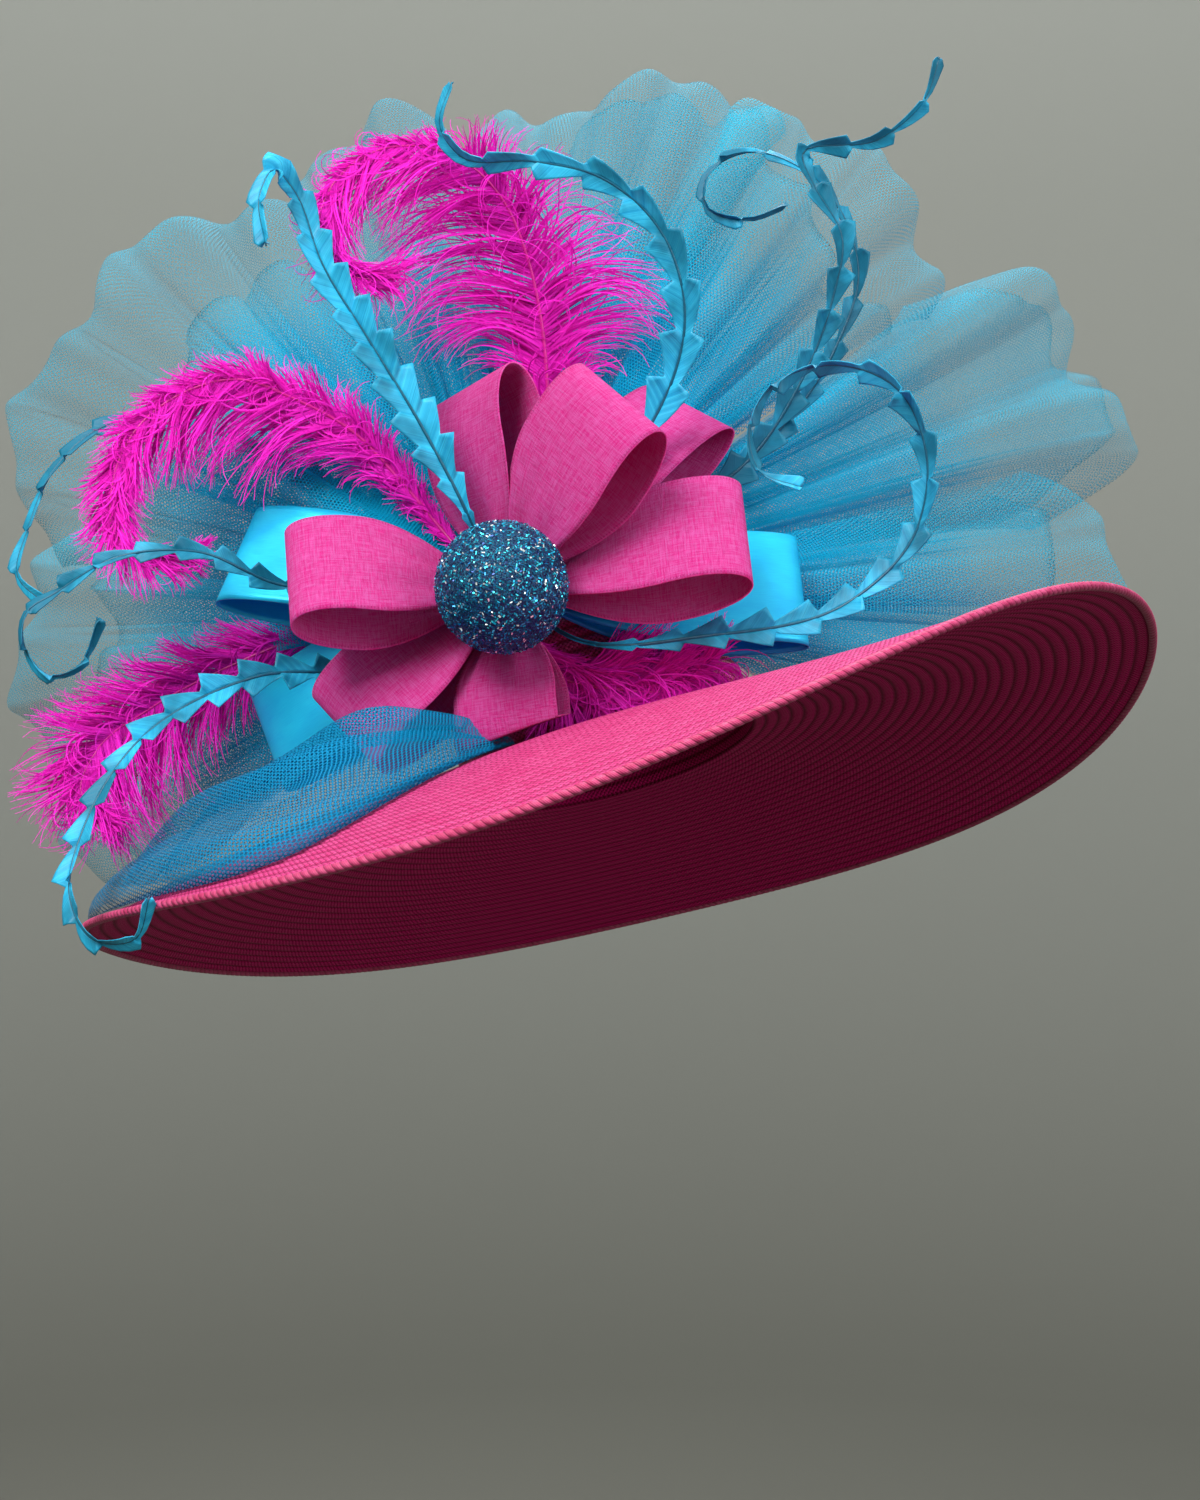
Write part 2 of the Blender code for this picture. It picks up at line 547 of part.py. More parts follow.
def make_ball(material, parent):
    """The ball rests on the post's front face."""
    bpy.ops.mesh.primitive_ico_sphere_add(subdivisions=3, radius=BALL_DIAMETER / 2)
    ball = bpy.context.object
    ball.name = "glitter_ball"
    ball.data.materials.append(material)
    ball.data.shade_smooth()
    ball.parent = parent
    ball.location = (0.0, -(BALL_DIAMETER / 2 + CLEARANCE), 0.0)


def make_hat():
    """Put the whole hat together."""
    clear_scene()
    straw = make_material("pink_straw", PINK_STRAW)
    make_brim(straw)
    make_brim_edge(straw)
    make_crown(straw)

    matrix = worn_matrix()
    front = bpy.data.objects.new("worn_front", None)
    bpy.context.collection.objects.link(front)
    front.matrix_world = matrix
    make_trim_base(make_material("pink_base", PINK_BASE), front)
    make_ball(make_material("teal_glitter", TEAL_GLITTER), front)

    linen = make_material("pink_linen", PINK_LINEN)
    for number, loop in enumerate(LINEN_LOOPS, 1):
        make_loop(f"linen_loop_{number}", loop, LINEN_REACH, LINEN_WIDTH, LINEN_FULLNESS, linen, front, matrix)
    satin = make_material("blue_satin", BLUE_SATIN)
    for number, loop in enumerate(SATIN_LOOPS, 1):
        make_loop(f"satin_loop_{number}", loop, SATIN_REACH, SATIN_WIDTH, SATIN_FULLNESS, satin, front, matrix)
    notched = make_material("turquoise_feather", TURQUOISE_FEATHER)
    for number, feather in enumerate(NOTCHED_FEATHERS, 1):
        make_notched_feather(f"notched_feather_{number}", feather, notched, front, matrix)
    ostrich = make_material("magenta_plume", MAGENTA_PLUME)
    for number, plume in enumerate(PLUMES, 1):
        make_plume(f"plume_{number}", plume, ostrich, front, matrix)
    net = make_material("turquoise_net", TURQUOISE_NET)
    for number, fan in enumerate(TULLE_FANS, 1):
        gap = CLEARANCE + TULLE_LAYER * (1 + number % 2)
        make_tulle_fan(f"tulle_{number}", fan, gap, net, front, matrix)
    make_veil("tulle_8", net)


make_hat()
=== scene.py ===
"""A wide brimmed straw derby hat, trimmed with tulle, ostrich plumes, notched feathers, ribbons and a ball.

The frame brings the hat's solids in metres: +Z runs up the middle of the crown, -Y is the front, and the
origin is the middle of the head opening. The hat stands level in it, and the camera looks at it from the
front as the wearer holds it, left side down and front edge up.
"""
import math
from collections import namedtuple

import bpy
import numpy as np
from mathutils import Matrix


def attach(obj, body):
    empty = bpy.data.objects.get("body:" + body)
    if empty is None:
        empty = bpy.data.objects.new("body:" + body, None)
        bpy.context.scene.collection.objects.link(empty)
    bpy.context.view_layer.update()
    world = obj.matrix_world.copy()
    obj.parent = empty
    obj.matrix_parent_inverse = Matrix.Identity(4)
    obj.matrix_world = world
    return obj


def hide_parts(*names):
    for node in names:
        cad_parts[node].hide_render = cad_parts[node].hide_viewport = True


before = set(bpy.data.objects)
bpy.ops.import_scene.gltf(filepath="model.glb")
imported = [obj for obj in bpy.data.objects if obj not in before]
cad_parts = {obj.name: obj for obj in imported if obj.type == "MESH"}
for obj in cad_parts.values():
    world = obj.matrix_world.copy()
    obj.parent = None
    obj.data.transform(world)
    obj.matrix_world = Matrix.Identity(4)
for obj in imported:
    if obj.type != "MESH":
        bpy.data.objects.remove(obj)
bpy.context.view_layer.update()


# Stage, camera and lights
# A pale seamless bowl of paper stands round the hat, as wide as the picture. Three soft lamps and a pale sky
# light the hat from the front and above.

TILT_SIDE = math.tan(math.radians(15.6))
TILT_FRONT = math.tan(math.radians(11.9))
CAMERA_PLACE = (-0.0065, -1.22, 0.0054)
CAMERA_LENS = 54.2
FLOOR_LEVEL = -0.90
FLOOR_RADIUS = 2.0
BOWL_BEND = 2.2
STAGE_LIGHT = (0.67, 0.68, 0.628)
STAGE_SHADE = (0.165, 0.165, 0.142)
STAGE_SHADE_RISE = 2.7
SKY_COLOUR = (0.80, 0.83, 0.86, 1.0)
SKY_STRENGTH = 1.0


def unit(vectors):
    """Vectors divided by their lengths."""
    return vectors / np.linalg.norm(vectors, axis=-1, keepdims=True)


def worn_axes():
    """The hat's axes, one in each row, seen from the wearer's upright axes: right, back and up."""
    crown_axis = unit(np.array([-TILT_SIDE, TILT_FRONT, 1.0]))
    right_axis = unit(np.array([1.0, 0.0, TILT_SIDE]))
    return np.stack([right_axis, np.cross(crown_axis, right_axis), crown_axis])


WORN = worn_axes()


def add_object(name, data):
    """Put a mesh, lamp or camera in the scene."""
    piece = bpy.data.objects.new(name, data)
    bpy.context.scene.collection.objects.link(piece)
    return piece


def whole_turn(count):
    """Even angles of a whole turn, without its end."""
    return np.linspace(0, 2 * math.pi, count, endpoint=False)


def turned_shape(radius, height, turn):
    """Points of a profile of radii and heights carried round the Z axis."""
    return np.stack([radius[:, None] * np.cos(turn), radius[:, None] * np.sin(turn),
                     height[:, None] + 0 * turn], axis=-1)


def add_grid(name, points, uv=None, close_rows=False, close_columns=False, caps=()):
    """Make a mesh object of one grid of points, or of a stack of separate grids.

    points holds rows x columns x 3 metres. Each four neighbours make a quad, and a closed row or column joins
    its end to its start. uv holds a place for each point, with one more row or column where that way is
    closed, or for each quad's four corners. caps names rows that a flat face fills.
    """
    rows, columns = points.shape[-3:-1]
    stack = points.reshape(-1, rows, columns, 3)
    row, column = np.meshgrid(np.arange(rows if close_rows else rows - 1),
                              np.arange(columns if close_columns else columns - 1), indexing="ij")
    next_row, next_column = (row + 1) % rows, (column + 1) % columns
    quads = np.stack([row * columns + column, row * columns + next_column,
                      next_row * columns + next_column, next_row * columns + column], axis=-1)
    first = np.arange(len(stack)) * rows * columns
    quads = (quads[None] + first[:, None, None, None]).reshape(-1, 4)
    faces = quads.tolist()
    for cap in caps:
        ring = np.arange(columns) + (cap % rows) * columns
        faces += (first[:, None] + (ring if cap else ring[::-1])).tolist()
    mesh = bpy.data.meshes.new(name)
    mesh.from_pydata(stack.reshape(-1, 3).tolist(), [], faces)
    if uv is not None:
        if uv.ndim == points.ndim:
            uv = np.stack([uv[..., :-1, :-1, :], uv[..., :-1, 1:, :],
                           uv[..., 1:, 1:, :], uv[..., 1:, :-1, :]], axis=-2)
        layer = mesh.uv_layers.new(name="surface")
        corners = np.zeros((len(mesh.loops), 2))
        corners[:len(quads) * 4] = uv.reshape(-1, 2)
        layer.data.foreach_set("uv", corners.ravel())
    mesh.shade_smooth()
    mesh.update()
    return add_object(name, mesh)


def calc(tree, operation, *values):
    """Add one math node and give its result. A value is a number or another node's socket."""
    node = tree.nodes.new("ShaderNodeMath")
    node.operation = operation
    for socket, value in zip(node.inputs, values):
        if isinstance(value, bpy.types.NodeSocket):
            tree.links.new(value, socket)
        else:
            socket.default_value = value
    return node.outputs[0]


def tint(tree, share, first, second):
    """Add one colour mix from first to second by a share, and give its result."""
    node = tree.nodes.new("ShaderNodeMix")
    node.data_type = "RGBA"
    for place, value in ((0, share), (6, first), (7, second)):
        if isinstance(value, bpy.types.NodeSocket):
            tree.links.new(value, node.inputs[place])
        else:
            node.inputs[place].default_value = value if place == 0 else (*value[:3], 1.0)
    return node.outputs[2]


def spread(tree, value, low, high, first=0.0, last=1.0):
    """Stretch a value from low..high to first..last, and hold it there outside."""
    node = tree.nodes.new("ShaderNodeMapRange")
    tree.links.new(value, node.inputs["Value"])
    for place, number in enumerate((low, high, first, last), 1):
        node.inputs[place].default_value = number
    return node.outputs["Result"]


def components(tree, vector):
    """Split a vector in its three values."""
    node = tree.nodes.new("ShaderNodeSeparateXYZ")
    tree.links.new(vector, node.inputs[0])
    return node.outputs


def new_material(name, **looks):
    """Start a material. Plain looks of its Principled shader are set on the shader's own sockets."""
    material = bpy.data.materials.new(name)
    material.use_nodes = True
    tree = material.node_tree
    shader = tree.nodes["Principled BSDF"]
    for socket, value in looks.items():
        shader.inputs[socket.replace("_", " ")].default_value = value
    where = tree.nodes.new("ShaderNodeTexCoord")
    return material, tree, shader, where


def paint(tree, shader, colour, roughness=None):
    """Link a colour, and a roughness that varies, to the shader."""
    tree.links.new(colour, shader.inputs["Base Color"])
    if roughness is not None:
        tree.links.new(roughness, shader.inputs["Roughness"])


def add_stage():
    """A flat disc whose edge turns up in a quarter circle, level as the wearer stands. Its pale face is
    inside, and painted shade makes its paper darker low down. The uv holds the height."""
    angle = np.linspace(0.0, math.pi / 2, 24)
    radius = np.concatenate([[0.05], FLOOR_RADIUS + BOWL_BEND * np.sin(angle), [FLOOR_RADIUS + BOWL_BEND]])
    height = np.concatenate([[0.0], BOWL_BEND * (1 - np.cos(angle)), [BOWL_BEND * 2.2]])
    turn = whole_turn(96)
    points = turned_shape(radius, FLOOR_LEVEL + height, turn) @ WORN.T
    uv = np.zeros((len(radius), len(turn) + 1, 2)) + height[:, None, None]
    bowl = add_grid("stage_bowl", points[:, ::-1], uv, close_columns=True, caps=(0,))
    material, tree, shader, where = new_material("stage_paper", Roughness=0.95, Specular_IOR_Level=0.1)
    # Painted shade: the paper is mixed towards a dark shaded colour low in the bowl, fading out up the wall.
    level = components(tree, where.outputs["UV"])[0]
    share = calc(tree, "POWER", spread(tree, level, 0.0, STAGE_SHADE_RISE), 0.7)
    paint(tree, shader, tint(tree, share, STAGE_SHADE, STAGE_LIGHT))
    bowl.data.materials.append(material)


Lamp = namedtuple("Lamp", "name place size power colour")
LAMPS = [
    # Places in the wearer's upright axes in metres, widths in metres and power in watts
    Lamp("key_lamp", (-0.75, -1.35, 1.35), 0.9, 40.0, (1.0, 0.98, 0.95)),
    Lamp("fill_lamp", (1.35, -1.1, 0.55), 1.1, 16.0, (0.93, 0.97, 1.0)),
    Lamp("top_lamp", (0.15, 0.75, 1.55), 1.2, 20.0, (1.0, 1.0, 1.0)),
]


def add_lamps():
    """Square lamps that look at the hat from their places, and an even sky."""
    for lamp in LAMPS:
        light = bpy.data.lights.new(lamp.name, "AREA")
        light.size = lamp.size
        light.energy = lamp.power
        light.color = lamp.colour
        piece = add_object(lamp.name, light)
        aim(piece, np.array(lamp.place), -np.array(lamp.place), np.array([0.0, 0.3, 1.0]))
    world = bpy.data.worlds.new("pale_sky")
    world.use_nodes = True
    world.node_tree.nodes["Background"].inputs["Color"].default_value = SKY_COLOUR
    world.node_tree.nodes["Background"].inputs["Strength"].default_value = SKY_STRENGTH
    bpy.context.scene.world = world


def aim(piece, place, ahead, up):
    """Put a lamp or the camera at a place of the wearer's axes. It looks ahead along its -Z, up above it."""
    back = unit(-(WORN @ ahead))
    right = unit(np.cross(WORN @ up, back))
    turn = np.eye(4)
    turn[:3, :3] = np.stack([right, np.cross(back, right), back], axis=1)
    turn[:3, 3] = WORN @ place
    piece.matrix_world = Matrix(turn.tolist())


def add_camera():
    """The camera stands level in front of the wearer's brow."""
    data = bpy.data.cameras.new("camera")
    data.lens = CAMERA_LENS
    camera = add_object("camera", data)
    aim(camera, np.array(CAMERA_PLACE), np.array([0.0, 1.0, 0.0]), np.array([0.0, 0.0, 1.0]))
    bpy.context.scene.camera = camera


add_stage()
add_lamps()
add_camera()
bpy.context.scene.view_settings.view_transform = "Standard"
bpy.context.scene.cycles.transparent_max_bounces = 40


# Straw body
# The brim and crown are flat plaited braid, sewn round and round with each turn's edge over the last one's.
# The dyed straw is hot pink, and its underside is painted a deeper raspberry as shade. A groove runs where
# two turns meet, with painted shade in it.

HEAD_WIDTH = 0.158
HEAD_LENGTH = 0.196
CROWN_HEIGHT = 0.112
CROWN_SQUARENESS = 2.6
STRAW = 0.002
RIM_WIDTH = 0.576
RIM_LENGTH = 0.616
BRIM_DROP = 0.042
BRIM_CURVE = 1.35
TWO_FOLD_WAVE = 0.0190
TWO_FOLD_CREST = math.radians(-19.5)
THREE_FOLD_WAVE = 0.0090
THREE_FOLD_CREST = math.radians(-37.5)
BRAID = 0.0070
BRAID_RELIEF = 0.0006
PLAIT = 0.0030
BRAID_STEPS = 4
PLAIT_SLANT = 2.5
BRIM_COLUMNS = 256
CROWN_COLUMNS = 160
BUTTON_COLUMNS = 48
BUTTON_WIDTH = 0.012
CROWN_SEAM = 0.0012
BUTTON_HEIGHT = 0.0030
STRAW_PINK = (0.72, 0.032, 0.220)
STRAW_LIGHT = (0.90, 0.110, 0.36)
STRAW_SHADE = (0.30, 0.003, 0.060)
STRAW_SHADED_UNDERSIDE = (0.46, 0.003, 0.105)
STRAW_UNDER_SHADE = (0.10, 0.001, 0.016)


def brim_halves(share):
    """Half the width and half the length of the brim's oval, at a share of the way from its root to the
    rim."""
    half_width = (HEAD_WIDTH + (RIM_WIDTH - HEAD_WIDTH) * share) / 2
    return half_width, (HEAD_LENGTH + (RIM_LENGTH - HEAD_LENGTH) * share) / 2


def brim_point(turn, share):
    """Point of the brim's top: the half axes grow evenly from the head's oval to the rim's, and the height
    is a drop that steepens with the share, plus a two-fold and a three-fold wave round the rim."""
    half_width, half_length = brim_halves(share)
    wave = (TWO_FOLD_WAVE * np.cos(2 * (turn - TWO_FOLD_CREST))
            + THREE_FOLD_WAVE * np.cos(3 * (turn - THREE_FOLD_CREST)))
    height = -BRIM_DROP * share ** BRIM_CURVE + wave * share ** 2
    return np.stack([half_width * np.cos(turn), half_length * np.sin(turn), height], axis=-1)


def crown_point(turn, rise):
    """Point of the crown's outside: its upright section is a squared ellipse, x^n + z^n = 1."""
    power = 2 / CROWN_SQUARENESS
    across = np.cos(rise) ** power
    return np.stack([(HEAD_WIDTH / 2 + STRAW) * across * np.cos(turn),
                     (HEAD_LENGTH / 2 + STRAW) * across * np.sin(turn),
                     -CROWN_SEAM + (CROWN_HEIGHT + CROWN_SEAM) * np.sin(rise) ** power + 0 * turn], axis=-1)


def grid_normals(points):
    """Unit normals of a grid whose columns run round: cross products of its neighbours' differences."""
    around = np.roll(points, -1, axis=1) - np.roll(points, 1, axis=1)
    normals = np.cross(around, np.gradient(points, axis=0))
    return unit(np.where(np.abs(normals).sum(-1, keepdims=True) > 0, normals, (0.0, 0.0, 1.0)))


def grid_places(first, second):
    """A pair of values for each point of a grid, from two arrays that are spread over it."""
    return np.stack(np.broadcast_arrays(first, second), axis=-1)


def braided_wall(outside):
    """Close a sewn wall round a grid whose rows follow the braid's edges and steps.

    Each turn of braid bulges by the root of 1 - (2f - 1)^2 over its width f. The inside is the outside moved
    in by the straw. The uv counts plaits round the ring and turns of braid across it, and is below 0 inside.
    """
    rows, columns = outside.shape[:2]
    part = (np.arange(rows) % BRAID_STEPS) / BRAID_STEPS
    bulge = BRAID_RELIEF * (np.sqrt(1 - (2 * part - 1) ** 2) - 1)
    normals = grid_normals(outside)
    if np.mean(normals[..., 2]) < 0:
        normals = -normals
    top = outside + normals * bulge[:, None, None]
    under = outside - normals * (STRAW + bulge[:, None, None])
    points = np.concatenate([top, under[::-1]])
    around = np.linalg.norm(np.diff(outside, axis=1, append=outside[:, :1]), axis=-1).sum(axis=1)
    turn_count = np.arange(rows) / BRAID_STEPS
    step = np.concatenate([turn_count, -turn_count[::-1] - 0.001])
    braid = np.floor(np.abs(np.minimum(np.abs(step), np.abs(np.roll(step, -1)))) + 1e-6)
    plaits = np.round(np.interp(braid + 0.5, turn_count, around) / PLAIT)
    column = np.arange(columns) / columns
    left, right = plaits[:, None] * column, plaits[:, None] * (column + 1 / columns)
    here, after = step[:, None], np.roll(step, -1)[:, None]
    uv = np.stack([grid_places(left, here), grid_places(right, here),
                   grid_places(right, after), grid_places(left, after)], axis=-2)
    return points, uv


def weave_group():
    """Plain weave as a node group. Its vector counts threads both ways. A thread's height is the sine across
    it, and it dips under every other crossing, so the higher of the two threads shows."""
    group = bpy.data.node_groups.new("plain_weave", "ShaderNodeTree")
    group.interface.new_socket(name="Threads", in_out="INPUT", socket_type="NodeSocketVector")
    group.interface.new_socket(name="Height", in_out="OUTPUT", socket_type="NodeSocketFloat")
    group.interface.new_socket(name="Tone", in_out="OUTPUT", socket_type="NodeSocketFloat")
    start = group.nodes.new("NodeGroupInput")
    end = group.nodes.new("NodeGroupOutput")
    threads = components(group, start.outputs["Threads"])
    heights, tones = [], []
    for here, there, sign in ((0, 1, 0.5), (1, 0, -0.5)):
        number = calc(group, "FLOOR", threads[here])
        across = calc(group, "MULTIPLY", calc(group, "FRACT", threads[here]), math.pi)
        profile = calc(group, "SINE", across)
        crossing = calc(group, "MULTIPLY", calc(group, "ADD", threads[there], number), math.pi)
        dip = calc(group, "MULTIPLY_ADD", calc(group, "SINE", crossing), sign, 0.5)
        heights.append(calc(group, "MULTIPLY", profile, dip))
        random = group.nodes.new("ShaderNodeTexWhiteNoise")
        random.noise_dimensions = "1D"
        group.links.new(number, random.inputs["W"])
        tones.append(random.outputs["Value"])
    height = calc(group, "MAXIMUM", *heights)
    above = calc(group, "GREATER_THAN", *heights)
    other = calc(group, "SUBTRACT", 1.0, above)
    tone = calc(group, "ADD", calc(group, "MULTIPLY", tones[0], above),
                calc(group, "MULTIPLY", tones[1], other))
    group.links.new(height, end.inputs["Height"])
    group.links.new(tone, end.inputs["Tone"])
    return group


WEAVE = weave_group()


def place_weave(tree, across, along):
    """Put the weave in a material, with its two thread counts."""
    join = tree.nodes.new("ShaderNodeCombineXYZ")
    tree.links.new(across, join.inputs[0])
    tree.links.new(along, join.inputs[1])
    node = tree.nodes.new("ShaderNodeGroup")
    node.node_tree = WEAVE
    tree.links.new(join.outputs[0], node.inputs["Threads"])
    return node.outputs["Height"], node.outputs["Tone"]


def noise(tree, where, scale, detail=3.0, stretch=(1.0, 1.0, 1.0)):
    """Add a noise whose pattern is stretched along the axes, and give its value."""
    mapping = tree.nodes.new("ShaderNodeMapping")
    mapping.inputs["Scale"].default_value = stretch
    tree.links.new(where, mapping.inputs["Vector"])
    node = tree.nodes.new("ShaderNodeTexNoise")
    node.inputs["Scale"].default_value = scale
    node.inputs["Detail"].default_value = detail
    tree.links.new(mapping.outputs["Vector"], node.inputs["Vector"])
    return node.outputs["Fac"]


def add_bump(tree, shader, height, depth, strength=1.0):
    """Let a height from 0 to 1 stand a depth in metres above the surface."""
    bump = tree.nodes.new("ShaderNodeBump")
    bump.inputs["Strength"].default_value = strength
    bump.inputs["Distance"].default_value = depth
    tree.links.new(height, bump.inputs["Height"])
    tree.links.new(bump.outputs["Normal"], shader.inputs["Normal"])


def straw_material():
    """Braid: the weave set slantwise makes its plaits, with painted shade on its low threads and in the
    groove between turns. The turns of the uv are below 0 on the inside, which is painted a deeper raspberry
    as shade."""
    material, tree, shader, where = new_material("sewn_braid")
    plaits, turns, _ = components(tree, where.outputs["UV"])
    slant = calc(tree, "MULTIPLY", turns, PLAIT_SLANT)
    height, tone = place_weave(tree, calc(tree, "ADD", plaits, slant), calc(tree, "SUBTRACT", plaits, slant))
    part = calc(tree, "FRACT", turns)
    groove = calc(tree, "ABSOLUTE", calc(tree, "MULTIPLY_ADD", part, 2.0, -1.0))
    groove = spread(tree, groove, 0.55, 0.95)
    fade = noise(tree, where.outputs["Object"], 60.0)
    tone = calc(tree, "MULTIPLY_ADD", fade, 0.5, calc(tree, "MULTIPLY", tone, 0.5))
    top = tint(tree, spread(tree, tone, 0.15, 0.85), STRAW_PINK, STRAW_LIGHT)
    top = tint(tree, spread(tree, height, 0.10, 0.60), STRAW_SHADE, top)
    # Painted shade: the underside is a darker shaded copy of the same straw, and its low threads are darker
    # still.
    under = tint(tree, spread(tree, height, 0.10, 0.60), STRAW_UNDER_SHADE, STRAW_SHADED_UNDERSIDE)
    below = calc(tree, "LESS_THAN", turns, 0.0)
    # Painted shade in the grooves between turns, on the top and underneath.
    dark = tint(tree, below, STRAW_SHADE, STRAW_UNDER_SHADE)
    colour = tint(tree, calc(tree, "MULTIPLY", groove, 0.8), tint(tree, below, top, under), dark)
    paint(tree, shader, colour, spread(tree, height, 0.0, 1.0, 0.70, 0.42))
    tree.links.new(spread(tree, turns, -0.001, 0.0, 0.05, 0.22), shader.inputs["Specular IOR Level"])
    relief = calc(tree, "MULTIPLY_ADD", groove, -0.9, height)
    add_bump(tree, shader, relief, 0.0008)
    return material


STRAW_BRAID = straw_material()


def dress(piece, material, replaced=None):
    """Give a piece its material and body, and hide the solid that it replaces."""
    piece.data.materials.append(material)
    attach(piece, "root")
    if replaced:
        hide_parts(replaced)


def add_brim():
    """Thirty turns of braid from the head opening to the rim, worked out on even shares of the brim. The
    columns are turned round, because the rows run outward here and would face the wall inward."""
    turns = round((RIM_LENGTH - HEAD_LENGTH) / 2 / BRAID)
    share = np.arange(turns * BRAID_STEPS + 1) / (turns * BRAID_STEPS)
    points, uv = braided_wall(brim_point(*np.meshgrid(whole_turn(BRIM_COLUMNS), share)))
    brim = add_grid("sewn_brim", points[:, ::-1], uv[:, ::-1][:, :, [1, 0, 3, 2]], True, True)
    dress(brim, STRAW_BRAID, "brim")


def run_along(points):
    """Distance from the first row of points to each row, which is the mean of the columns' distances."""
    steps = np.linalg.norm(np.diff(points, axis=0), axis=-1).reshape(len(points) - 1, -1)
    return np.concatenate([[0.0], np.cumsum(steps.mean(axis=1))])


def add_crown():
    """Turns of braid from the brim's root up to the button at the top, at even distances along the dome."""
    rise = np.linspace(0.0, math.pi / 2 * 0.9995, 600)
    section = crown_point(np.zeros_like(rise), rise)
    length = run_along(section)
    turns = round(length[-1] / BRAID)
    even = np.linspace(0.0, 0.985 * length[-1], turns * BRAID_STEPS + 1)
    rise = np.interp(even, length, rise)
    points, uv = braided_wall(crown_point(*np.meshgrid(whole_turn(CROWN_COLUMNS), rise)))
    crown = add_grid("sewn_crown", points, uv, True, True)
    dress(crown, STRAW_BRAID, "crown")


def add_crown_button():
    """A small round pad of wound braid, a flat turned profile, closes the hole where the turns begin."""
    angle = np.linspace(-math.pi / 2, math.pi / 2, 9)
    radius = BUTTON_WIDTH / 2 - BUTTON_HEIGHT / 2 + BUTTON_HEIGHT / 2 * np.cos(angle)
    height = CROWN_HEIGHT - STRAW / 2 + BUTTON_HEIGHT / 2 * np.sin(angle)
    points = turned_shape(radius, height, whole_turn(BUTTON_COLUMNS))
    uv = grid_places(np.arange(BUTTON_COLUMNS + 1) / 3, np.linspace(0, 1, len(angle))[:, None])
    button = add_grid("crown_button", points, uv, close_columns=True, caps=(0, -1))
    dress(button, STRAW_BRAID)


add_brim()
add_crown()
add_crown_button()


# Stitched edge
# A cord inside the last fold of braid gives the rim its roll. Slanting stitches of the same straw whip it
# over, about four millimetres apart.

EDGE_WIDTH = 0.0050
EDGE_HEIGHT = 0.0044
EDGE_BITE = 0.0010
EDGE_LIGHT = (0.78, 0.090, 0.26)
EDGE_PINK = (0.55, 0.022, 0.130)
EDGE_SHADE = (0.13, 0.003, 0.022)
STITCH = 0.0042
STITCH_STEPS = 6
EDGE_SIDES = 10


def edge_material():
    """Pink stitches with painted shade in the hollows between them and their strands, and painted shade under
    the roll and where it meets the braid. The uv counts stitches along and turns of the roll."""
    material, tree, shader, where = new_material("whipped_edge", Roughness=0.5, Specular_IOR_Level=0.4)
    stitches, roll, _ = components(tree, where.outputs["UV"])
    slant = calc(tree, "MULTIPLY_ADD", roll, 2.0, stitches)
    stitch = calc(tree, "ABSOLUTE", calc(tree, "SINE", calc(tree, "MULTIPLY", slant, math.pi)))
    strand = calc(tree, "ABSOLUTE", calc(tree, "SINE", calc(tree, "MULTIPLY", slant, 4 * math.pi)))
    fade = noise(tree, where.outputs["Object"], 220.0)
    colour = tint(tree, spread(tree, fade, 0.30, 0.70), EDGE_PINK, EDGE_LIGHT)
    # Painted shade in the hollows between strands and between stitches.
    colour = tint(tree, spread(tree, strand, 0.0, 0.5, 0.4, 0.0), colour, EDGE_SHADE)
    colour = tint(tree, spread(tree, stitch, 0.0, 0.45, 0.45, 1.0), EDGE_SHADE, colour)
    # Painted shade under the roll and on its side against the braid.
    angle = calc(tree, "MULTIPLY", roll, 2 * math.pi)
    colour = tint(tree, spread(tree, calc(tree, "SINE", angle), -0.8, 0.0, 0.6, 0.0), colour, EDGE_SHADE)
    colour = tint(tree, spread(tree, calc(tree, "COSINE", angle), -0.9, -0.5, 0.7, 0.0), colour, EDGE_SHADE)
    paint(tree, shader, colour)
    add_bump(tree, shader, calc(tree, "ADD", stitch, calc(tree, "MULTIPLY", strand, 0.3)), 0.0005)
    return material


def add_edge():
    """An oval roll round the rim, whose straw it takes in by a bite.

    Its radius swells with a power of |cos(n t / 2 + a)| for n stitches, where t is the turn round the rim
    and a the angle round the roll, so the stitches slant.
    """
    rim_round = math.pi * (RIM_WIDTH + RIM_LENGTH) / 2
    stitches = 2 * round(rim_round / STITCH / 2)
    turn = whole_turn(stitches * STITCH_STEPS)
    rim = brim_point(turn, np.ones_like(turn))
    outward = unit(rim - brim_point(turn, np.full_like(turn, 0.97)))
    upward = unit(np.cross(outward, np.roll(rim, -1, 0) - np.roll(rim, 1, 0)))
    centre = rim + outward * (EDGE_WIDTH / 2 - EDGE_BITE) - upward * STRAW / 2
    angle = whole_turn(EDGE_SIDES)[:, None]
    swell = 0.88 + 0.13 * np.abs(np.cos(stitches * turn / 2 + angle)) ** 0.6
    points = (centre + outward * (EDGE_WIDTH / 2 * np.cos(angle) * swell)[..., None]
              + upward * (EDGE_HEIGHT / 2 * np.sin(angle) * swell)[..., None])
    count = np.arange(len(turn) + 1) / STITCH_STEPS + 0.5
    around = np.arange(EDGE_SIDES + 1)[:, None] / EDGE_SIDES
    edge = add_grid("whipped_edge", points, grid_places(count, around), True, True)
    dress(edge, edge_material(), "brim_edge")


add_edge()


# Ribbon loops
# Seven loops of pink linen ribbon open round the ball, and three longer loops of blue satin lie under them.
# Each is one cut of ribbon folded back on itself, with both ends gathered into pleats and sewn to the post.

